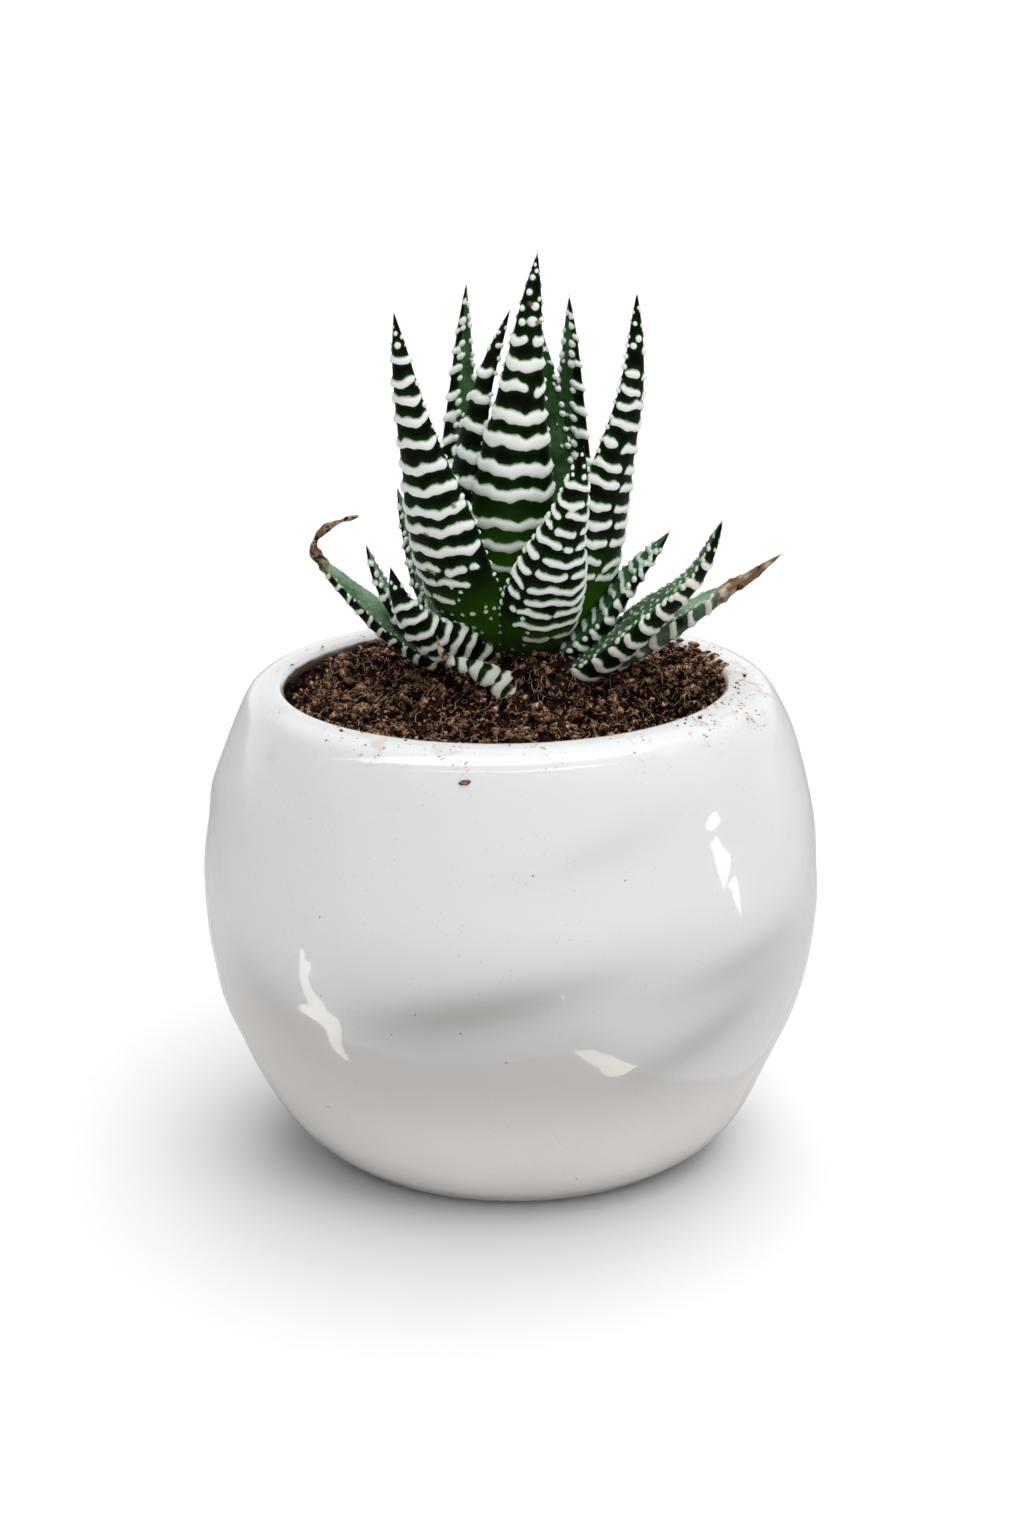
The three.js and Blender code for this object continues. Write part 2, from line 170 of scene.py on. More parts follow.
class Wire:
    """A socket in a material's nodes. Arithmetic on wires and numbers adds Math nodes."""

    def __init__(self, tree, socket=None):
        self.tree = tree
        self.socket = socket

    def node(self, kind, settings, sockets, output=0):
        """A new node of a kind, its settings, and the numbers or wires that go into its sockets."""
        made = self.tree.nodes.new(kind)
        for name, value in settings.items():
            setattr(made, name, value)
        for name, value in sockets.items():
            if isinstance(value, Wire):
                self.tree.links.new(value.socket, made.inputs[name])
            else:
                made.inputs[name].default_value = value
        return Wire(self.tree, made.outputs[output]) if len(made.outputs) else made

    def math(self, operation, *values):
        """The result of one Math node."""
        return self.node("ShaderNodeMath", {"operation": operation}, dict(enumerate(values)))

    def __add__(self, other):
        return self.math("ADD", self, other)

    def __sub__(self, other):
        return self.math("SUBTRACT", self, other)

    def __rsub__(self, other):
        return self.math("SUBTRACT", other, self)

    def __mul__(self, other):
        return self.math("MULTIPLY", self, other)

    __radd__ = __add__
    __rmul__ = __mul__

    def rise(self, low, high):
        """0 below low, 1 above high and smooth between."""
        ease = {"interpolation_type": "SMOOTHSTEP"}
        return self.node("ShaderNodeMapRange", ease, {"Value": self, "From Min": low, "From Max": high})

    def between(self, start, end):
        """The colour this far from start, at 0, to end, at 1."""
        colours = [c if isinstance(c, Wire) else (*c, 1) for c in (start, end)]
        return self.node("ShaderNodeMix", {"data_type": "RGBA"}, {0: self, 6: colours[0], 7: colours[1]}, 2)

    def place(self):
        """Where each spot of the piece is, in metres."""
        return self.node("ShaderNodeTexCoord", {}, {}, "Object")

    def parts(self, kind="XYZ"):
        """The three numbers in a place, or in a colour where kind is Color."""
        return [self.node("ShaderNodeSeparate" + kind, {}, {0: self}, part) for part in range(3)]

    def paint(self):
        """The four numbers that paint_on stores."""
        stored = {"attribute_name": "paint"}
        three = self.node("ShaderNodeAttribute", stored, {}, "Color").parts("Color")
        return [*three, self.node("ShaderNodeAttribute", stored, {}, "Alpha")]

    def cloud(self, scale, detail, place=None):
        """Noise from 0 to 1 at a scale in lumps per metre."""
        sockets = {"Vector": place or self.place(), "Scale": scale, "Detail": detail}
        return self.node("ShaderNodeTexNoise", {}, sockets)

    def cells(self, scale, place):
        """Distance from the middle of the nearest of many cells, at a scale in cells per metre."""
        return self.node("ShaderNodeTexVoronoi", {}, {"Vector": place, "Scale": scale})

    def bumped(self, strength, distance):
        """Bumps as high as this, for a Normal."""
        return self.node("ShaderNodeBump", {}, {"Height": self, "Strength": strength, "Distance": distance})

    def surface(self, sockets):
        """The shader that shows, from what goes into its sockets."""
        shader = self.node("ShaderNodeBsdfPrincipled", {}, sockets)
        self.node("ShaderNodeOutputMaterial", {}, {"Surface": shader})


def new_finish(name):
    """An empty material and the wire that its nodes are made from."""
    material = bpy.data.materials.new(name)
    material.use_nodes = True
    material.node_tree.nodes.clear()
    return material, Wire(material.node_tree)


def paint_on(made, values):
    """Store four numbers for every point of a piece, for its finish to read."""
    layer = made.data.color_attributes.new("paint", "FLOAT_COLOR", "POINT")
    layer.data.foreach_set("color", np.ascontiguousarray(values, np.float32).ravel())


def white_glaze():
    """Glaze over stoneware, with painted shade and a painted reflection. Its paint holds the dents, the height
    over the reflection's wavy line, smears and soil.
    """
    upper, reflected_table, low_down = (0.795, 0.816, 0.828), (0.655, 0.636, 0.628), (0.72, 0.70, 0.69)
    reflected_table_blush, dark_reflection, raw = (0.61, 0.575, 0.560), (0.42, 0.405, 0.40), (0.52, 0.45, 0.37)
    pooled_and_shaded, painted_band_shade, speck = (0.34, 0.322, 0.308), (0.10, 0.09, 0.085), (0.08, 0.055, 0.045)
    stain, soot, mud = (0.42, 0.25, 0.14), (0.19, 0.10, 0.05), (0.25, 0.145, 0.078)
    material, start = new_finish("white_glaze")
    place = start.place()
    x, y, z = place.parts()
    pool_and_shade, reflection_side, smear, soil_and_shade = start.paint()

    # Painted reflection: white glaze above a wavy line, the warm table mirrored blotchy under it and lighter
    # close to the foot, and the darker surroundings mirrored as a dark edge just above the line
    over = reflection_side * (2 * reflection_line_reach) - reflection_line_reach + (start.cloud(110, 2, place) - 0.5) * 1.6
    shown = x.rise(-0.034, -0.022)
    below = (1 - z.rise(0.006, 0.020)).between(reflected_table, low_down)
    body = (over.rise(-0.8, 0.7) * shown + over.rise(-8, 10) * (1 - shown)).between(below, upper)
    body = (start.cloud(45, 3, place).rise(0.3, 0.8) * (1 - over.rise(-9, 4)) * 0.45).between(body, reflected_table_blush)
    in_front = x.rise(-0.030, -0.010) * (1 - x.rise(0.014, 0.030) * 0.6)
    dark_reflection_edge = over.rise(-0.5, 0.5) * (1 - over.rise(0.4, 8.0)) * in_front
    body = (dark_reflection_edge * 0.32).between(body, dark_reflection)

    # Painted shade in a darker band round the bottom half of the wall, and darker glaze in the dents, partly
    # glaze gathered thick and partly painted shade
    shade_band_and_thin_wax = z.rise(0.012, 0.027) * (1 - z.rise(0.034, 0.052))
    band_shade_strength = x.rise(0.004, 0.030) * 0.04 + x.rise(-0.038, -0.010) * 0.12 + 0.15
    body = (shade_band_and_thin_wax * band_shade_strength).between(body, painted_band_shade)
    body = (pool_and_shade * 0.80).between(body, pooled_and_shaded)

    # Pinholes and iron specks in the glaze
    pinholes = (1 - start.cells(800.0, place).rise(0.06, 0.17)) * start.cloud(90, 2, place).rise(0.42, 0.58)
    body = (pinholes * 0.16).between(body, speck)
    lot = start.node("ShaderNodeTexVoronoi", {}, {"Vector": place, "Scale": 300.0}, "Color").parts("Color")[0]
    specks = (1 - start.cells(300.0, place).rise(0.03, 0.065)) * lot.rise(0.80, 0.83)
    body = (specks * 0.75).between(body, speck)

    # Soil rubbed on the rim: a thin film, dust, and mud inside the mouth
    film = start.cloud(420, 4, place).rise(0.50, 0.64) * smear.rise(0.2, 1.0) * 0.42
    dust = (1 - start.cells(1300.0, place).rise(0.20, 0.34)) * start.cloud(650, 2, place).rise(0.48, 0.58)
    dust = dust * smear.rise(0.12, 0.7)
    muddy = (soil_and_shade + (start.cloud(300, 4, place) - 0.5) * 0.9).rise(0.35, 0.62) * 0.90
    coloured = film.between(body, stain)
    coloured = (dust * 0.9).between(coloured, soot)
    coloured = muddy.between(coloured, mud)
    dull = film * 0.8 + dust + muddy

    # Bare clay on the foot ring, where the glaze was wiped off
    reach = start.math("SQRT", x * x + y * y)
    glazed = (z + reach * 0.5).rise((0.3 + foot_radius / 2) * MM, (0.9 + foot_radius / 2) * MM)
    waves = start.cloud(190, 2, place) * 0.8 + start.cloud(55, 1, place) * 1.6
    waves = waves + start.cloud(900, 1, place) * 0.05
    start.surface({
        "Base Color": glazed.between(raw, coloured),
        "Roughness": (1 - glazed) * 0.5 + dull * 0.4 + 0.22,
        "Coat Weight": glazed * (1 - dull.rise(0.0, 0.6)),
        "Specular IOR Level": 0.12,
        "Coat Roughness": 0.015,
        "Normal": waves.bumped(0.38, 0.4 * MM),
    })
    return material


def round_wall(angle, turn):
    """How far round the wall one turn is from another, in millimetres."""
    return np.radians((angle - turn + 180) % 360 - 180) * mean_radius


def mouth_shift(z):
    """How far the mouth sits to the side of the middle."""
    return mouth_aside * np.clip((z - neck_low) / (neck_high - neck_low), 0, 1)


def pot_wall():
    """Points of the pot, row by row from the drain hole, over the foot and the rim, and back inside."""
    outer = spline(pot_outside, 130)
    inner = spline(pot_inside, 36)
    lip = spline([outer[-1], (33.9, 73.25), inner[0]], 6)[1:-1]
    foot = spline([(drain_radius, 0), (foot_radius - 1, 0), (foot_radius, 0), pot_outside[0]], 12)
    foot[:, 1] = np.maximum(foot[:, 1], 0)
    floor = [(14, floor_depth), (drain_radius + 0.5, floor_depth), (drain_radius, floor_depth - 0.5)]
    profile = np.vstack([foot[:-1], outer, lip, inner, floor, [(drain_radius, 0.6)]])
    row = np.arange(len(profile))[:, None]
    crest = len(foot) - 1 + len(outer)
    outside = (row < crest) * 1.0
    inside = row >= crest + len(lip)
    turn = np.linspace(0, 2 * np.pi, pot_turns, endpoint=False)
    angle = np.degrees(turn)[None, :]
    front, right = np.cos(turn), np.sin(turn)
    radius = np.repeat(profile[:, :1], pot_turns, 1)
    height = np.repeat(profile[:, 1:], pot_turns, 1)

    # The hand-made wall: uneven all over, dented by fingers, and fuller at the sides and the foot
    wobble = 0.22 * noise(2.4 * front + 0 * height, 2.4 * right + 0 * height, height / 13, 3)
    wobble = wobble + 0.09 * noise(5 * front + 0 * height, 5 * right + 0 * height, height / 5, 5)
    # How deep the dents are, where the glaze gathers thick and gets painted shade
    pool_and_shade = 0 * height
    for mark_turn, mark_height, half_long, half_wide, rise, depth in finger_dents:
        lean = np.radians(rise)
        across, up = round_wall(angle, mark_turn), height - mark_height
        along = across * np.cos(lean) + up * np.sin(lean)
        over = (up * np.cos(lean) - across * np.sin(lean)) / half_wide
        reach = np.exp(-((along / half_long) ** 2) - over**2)
        wobble = wobble + 1.17 * depth * over * reach
        pool_and_shade = pool_and_shade + depth * reach
    swell = np.exp(-(((height - swell_height) / swell_reach) ** 2)) * (0.55 + 0.25 * right) * np.abs(right)
    wobble = wobble + swell
    fade = outside * np.clip(height / 6, 0, 1) * np.clip((74.5 - height) / 8, 0.15, 1)
    fuller_foot = np.exp(-(((height - 4) / 8) ** 2)) * np.clip(height / 0.8, 0, 1)
    fuller_foot = fuller_foot * (0.75 + 0.65 * right + 0.5 * front)
    radius = radius + wobble * fade + fuller_foot * outside

    # The mouth sits a little to the left. The shift grows over the rim and fades out inside
    over = np.clip((41.5 - profile[:, :1]) / 8.3, 0, 1) * (height > neck_middle)
    over_rim = mouth_aside * over**2 * (3 - 2 * over)
    x = radius * right + np.where(inside, mouth_shift(height), over_rim)
    points = np.stack([x, -radius * front, tilt(x, height)], 2).reshape(-1, 3)

    # What the glaze reads: the dents for their painted shade, the height over the painted reflection's wavy
    # line, the smears, and soil inside the mouth
    edge_turn, edge_height = spline(reflection_line, 300).T
    edge = np.interp((angle + 180) % 360 - 180, edge_turn, edge_height)
    over_reflection_line = np.clip(height - edge, -reflection_line_reach, reflection_line_reach) / (2 * reflection_line_reach) + 0.5
    smear = 0 * height
    for mark_turn, mark_height, reach, strength in soil_smears:
        away = round_wall(angle, mark_turn) ** 2 + (height - mark_height) ** 2 * 1.6
        away = away + (radius - 36) ** 2 * 0.5
        smear = smear + strength * np.exp(-away / reach**2) * (radius > 33)
    soil_and_shade = np.clip((73.1 - height) / 1.6, 0, 1) * (1 - outside) * (height > neck_middle)
    paint = np.stack([np.clip(pool_and_shade, 0, 1), over_reflection_line, np.clip(smear, 0, 1), soil_and_shade + 0 * pool_and_shade], 2)
    return points, ring_faces(len(profile), pot_turns, closed=True), paint


pot_points, pot_faces, pot_paint = pot_wall()
pot = piece("glazed_pot", pot_points, pot_faces, white_glaze(), "glazed_pot", ["pot"])
paint_on(pot, pot_paint)


# The soil
# Dark coir and peat mix, crumbly and full of fibres, pressed into the pot by hand and heaped round
# the plant. Its crumbs lie loose on top, and some have been spilt on the rim.

soil_level = 71.4
# Heaps of soil: place to the right and to the back, how wide, and how high
soil_heaps = [
    (2.5, 1, 17, 7), (22, 18, 14, 1.8), (-13, 17, 10, 3.4), (-26, 0, 10, -0.5), (29, -3, 9, 1.3),
    (34, 1, 9, 0.7), (4, -7, 5, 3.0), (2.9, -12.8, 2.7, 3.8), (9.0, -8.6, 2.8, 1.6), (0, -29, 13, 0.9),
]
# Clods of four sizes: how wide, how high, and the number of their pattern
soil_clods = [(5.5, 1.1, 11), (2.6, 1.5, 12), (1.3, 1.0, 13), (0.7, 0.55, 14)]
soil_gap = 0.3
brim_height = 72.2
soil_turns = 560
soil_rings = 96
side_rows = 6
pot_bore = spline(pot_inside, 44)[::-1]


def soil_mound(x, y):
    """Height of the soil without its crumbs."""
    level = soil_level + 0 * x
    for heap_x, heap_y, wide, high in soil_heaps:
        level = level + high * np.exp(-((x - heap_x) ** 2 + (y - heap_y) ** 2) / wide**2)
    return level


def soil_height(x, y):
    """Height of the soil with its clods, which are round on top with creases between them."""
    level = soil_mound(x, y)
    for wide, high, pattern in soil_clods:
        lumps = noise(x / wide, y / wide, 0 * x + 0.5, pattern)
        level = level + high * (np.sqrt(np.abs(lumps) + 0.01) - 0.62)
    return tilt(x, level)


def bore_radius(z):
    """Radius of the soil where it touches the wall."""
    return np.interp(z, pot_bore[:, 1], pot_bore[:, 0]) - soil_gap


def soil_body():
    """Points, faces and paint of the soil: rings out to the wall, rows down the wall, and an underside."""
    turn = np.linspace(0, 2 * np.pi, soil_turns, endpoint=False)
    across, back = np.sin(turn), -np.cos(turn)
    edge = bore_radius(np.minimum(soil_mound(33 * across, 33 * back), brim_height))
    rows, loose = [], []
    for ring in range(1, soil_rings + 1):
        radius = edge * ring / soil_rings
        x, y = radius * across + mouth_aside * ring / soil_rings, radius * back
        rows.append(np.stack([x, y, soil_height(x, y)], 1))
        loose.append(rows[-1][:, 2] - tilt(x, soil_mound(x, y)))
    brim = rows[-1][:, 2]
    for down in np.linspace(0, 1, side_rows + 1)[1:]:
        z = brim + (floor_depth + soil_gap - brim) * down
        radius = bore_radius(np.minimum(z, 72.0))
        rows.append(np.stack([radius * across + mouth_shift(z), radius * back, z], 1))
    rows.append(rows[-1] * (0.35, 0.35, 1))
    points = np.vstack(rows)
    faces = ring_faces(len(rows), soil_turns)
    top, bottom = len(points), len(points) + 1
    peak = soil_height(np.zeros(1), np.zeros(1))[0]
    points = np.vstack([points, [0, 0, peak], [0, 0, floor_depth + soil_gap]])
    last = (len(rows) - 1) * soil_turns
    for i in range(soil_turns):
        j = (i + 1) % soil_turns
        faces.append((top, j, i))
        faces.append((bottom, last + i, last + j))
    raised = np.full(len(points), 0.3)
    raised[: soil_rings * soil_turns] = np.clip(np.concatenate(loose) / 4 + 0.5, 0, 1)
    return points, faces, np.stack([raised] * 4, 1)


def coir_soil(name, dark, brown, rust, creased=False):
    """Crumbly soil with painted glints. Where it is creased, its paint holds how far each spot is raised, and
    its low spots get painted shade.
    """
    glint_and_fibre = (0.98, 0.63, 0.43)
    material, start = new_finish(name)
    place = start.place()
    grains, clots, glints = [start.cloud(*size, place) for size in ((1500, 4), (420, 3), (1900, 2))]
    rusty, damp = start.cloud(130, 3, place).rise(0.46, 0.64), start.cloud(110, 2, place).rise(0.47, 0.60)
    fibres = start.node("ShaderNodeTexWave", {"wave_profile": "SIN"}, {
        "Vector": place, "Scale": 620.0, "Distortion": 30.0, "Detail": 3.0, "Detail Scale": 1.6})
    shown = (grains * 0.6 + clots * 0.4).rise(0.45, 0.55)
    lit = clots.rise(0.40, 0.60)
    # Where it is creased, painted shade: its low spots are darker
    if creased:
        raised = start.node("ShaderNodeAttribute", {"attribute_name": "paint"}, {}, "Fac") * 4 - 2
        lit = (raised + (grains - 0.5) * 0.8).rise(-0.15, 0.65)
        shown = shown * (lit * 0.9 + 0.1)
    colour = shown.between(dark, brown)
    colour = (rusty * grains.rise(0.48, 0.60) * lit).between(colour, rust)
    colour = (damp * 0.62).between(colour, dark)
    # Painted glints on the crumbs, then light fibres
    colour = (glints.rise(0.54, 0.60) * lit * 0.95).between(colour, glint_and_fibre)
    colour = (fibres.rise(0.92, 0.98) * clots.rise(0.45, 0.6) * lit * 0.7).between(colour, glint_and_fibre)
    start.surface({
        "Base Color": colour,
        "Roughness": 0.9,
        "Specular IOR Level": 0.01,
        "Normal": (grains + fibres * 0.3).bumped(1.0, 0.5 * MM),
    })
    return material


soil_finish = coir_soil("coir_soil", (0.003, 0.0018, 0.0015), (0.42, 0.205, 0.135), (0.64, 0.285, 0.155),
                        creased=True)
soil_points, soil_faces, soil_paint = soil_body()
heaped_soil = piece("heaped_soil", soil_points, soil_faces, soil_finish, "potting_soil", ["soil"])
paint_on(heaped_soil, soil_paint)


# The stem and its roots
# A short fleshy stem that every leaf stands on, with thick pale roots running down into the soil.
# All of it is buried, so the plain form is kept and only gets its corky skin.


def corky_skin():
    """Flaky brown skin."""
    pale, dull = (0.42, 0.31, 0.17), (0.22, 0.14, 0.075)
    material, start = new_finish("corky_skin")
    flakes = start.cloud(420, 4)
    start.surface({
        "Base Color": flakes.rise(0.35, 0.65).between(dull, pale),
        "Roughness": flakes * 0.2 + 0.65,
        "Normal": flakes.bumped(0.6, 0.3 * MM),
    })
    return material


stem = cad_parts["stem_with_roots"]
stem.data.materials.clear()
stem.data.materials.append(corky_skin())


# The leaves
# Stiff, fleshy, pointed leaves, flat or hollow inside and rounded outside, set close round the stem.
# White waxy pearls run together into wavy ridges across the outer face. The lowest leaves are oldest:
# their inner faces are greyed by wax, and some tips have dried brown or shrunk to a thread.

# Thickness as a share of the width, and how much of it lies outside. Radius of a tip and of a dried
# thread, height of a pearl, how low the paint's level goes between pearls, how sharply touching pearls
# part, and the taper from tip to stem
leaf_thickness = 0.38
outer_share = 0.8
tip_radius = 0.16
thread_radius = 0.92
pearl_height = 0.42
flat_level = 1.6
pearl_merge = 7
leaf_taper = spline([(0, 0.0), (0.1, 0.2), (0.24, 0.4), (0.38, 0.62), (0.5, 0.85), (0.65, 1), (0.8, 0.95),
                     (1, 0.62)], 60)
scar_strength = 0.95

# What the words in a leaf's row say. Distances are from the tip, shares are of the half width, and left
# and right are those of someone who faces the outer face.
# line: from the stem to the tip. face: the way the rounded outer face looks. first, pitch: distance of the
# first ridge, and between ridges. band: thickness of a ridge near the tip, half way and near the root.
# rows: ridges one by one, by distance, thickness and where they are cut, as shares to the right.
# smile: how far the ends of a ridge turn up. drop: how much lower the right part of a cut ridge sits.
# dash: length of the pearls that a ridge is made of. joined: share of them that touch. low: their height.
# wrap: how far they go round the right and the left margin. margin: size of the pearls on the margins.
# bare: how far up from the root there are only small pearls. bare_side: how much of the left side stays
# bare higher up, or below 0 of the right side. fresh: how far the pale green of the base reaches.
# wax: greyness of the inner face, where grains or rungs are the pearls on it. cream, dull: yellowing and
# greying of the pearls. pale: bloom on the outer face. dry: how far the tip has turned brown. thread,
# blunt: length of a tip shrunk to a thread, and how bluntly the blade ends before it. scars: brown spots,
# by distance, place to the left of the keel, and size. mesh: how finely it is divided, along and round.
# A row that leaves a word out has the usual value.
usual = dict(drop=0, joined=0.15, low=1, wrap=(1.0, 1.0), margin=0.38, bare=0.03, bare_side=0,
             fresh=0.16, wax=0, grains=0, rungs=0, cream=0, dull=0, pale=0, dry=0.5, thread=0, blunt=0,
             scars=(), mesh=(0.27, 64))
fine_mesh = (0.25, 84)
back = dict(band=(1.2, 1.4, 1.2), smile=0.4, dash=3.4, joined=0.5)
rear = dict(width=10, first=4, pitch=3.5, band=(1.0, 1.5, 1.4), smile=0.6, dash=5, joined=0.6, wax=0.4,
            mesh=(0.42, 52))
rear_low = dict(rear, width=9, first=3.5, pitch=3.4, band=(0.9, 1.4, 1.4), smile=0.4, dash=4, joined=0.5,
                wax=0.8, cream=0.6, grains=1.9)
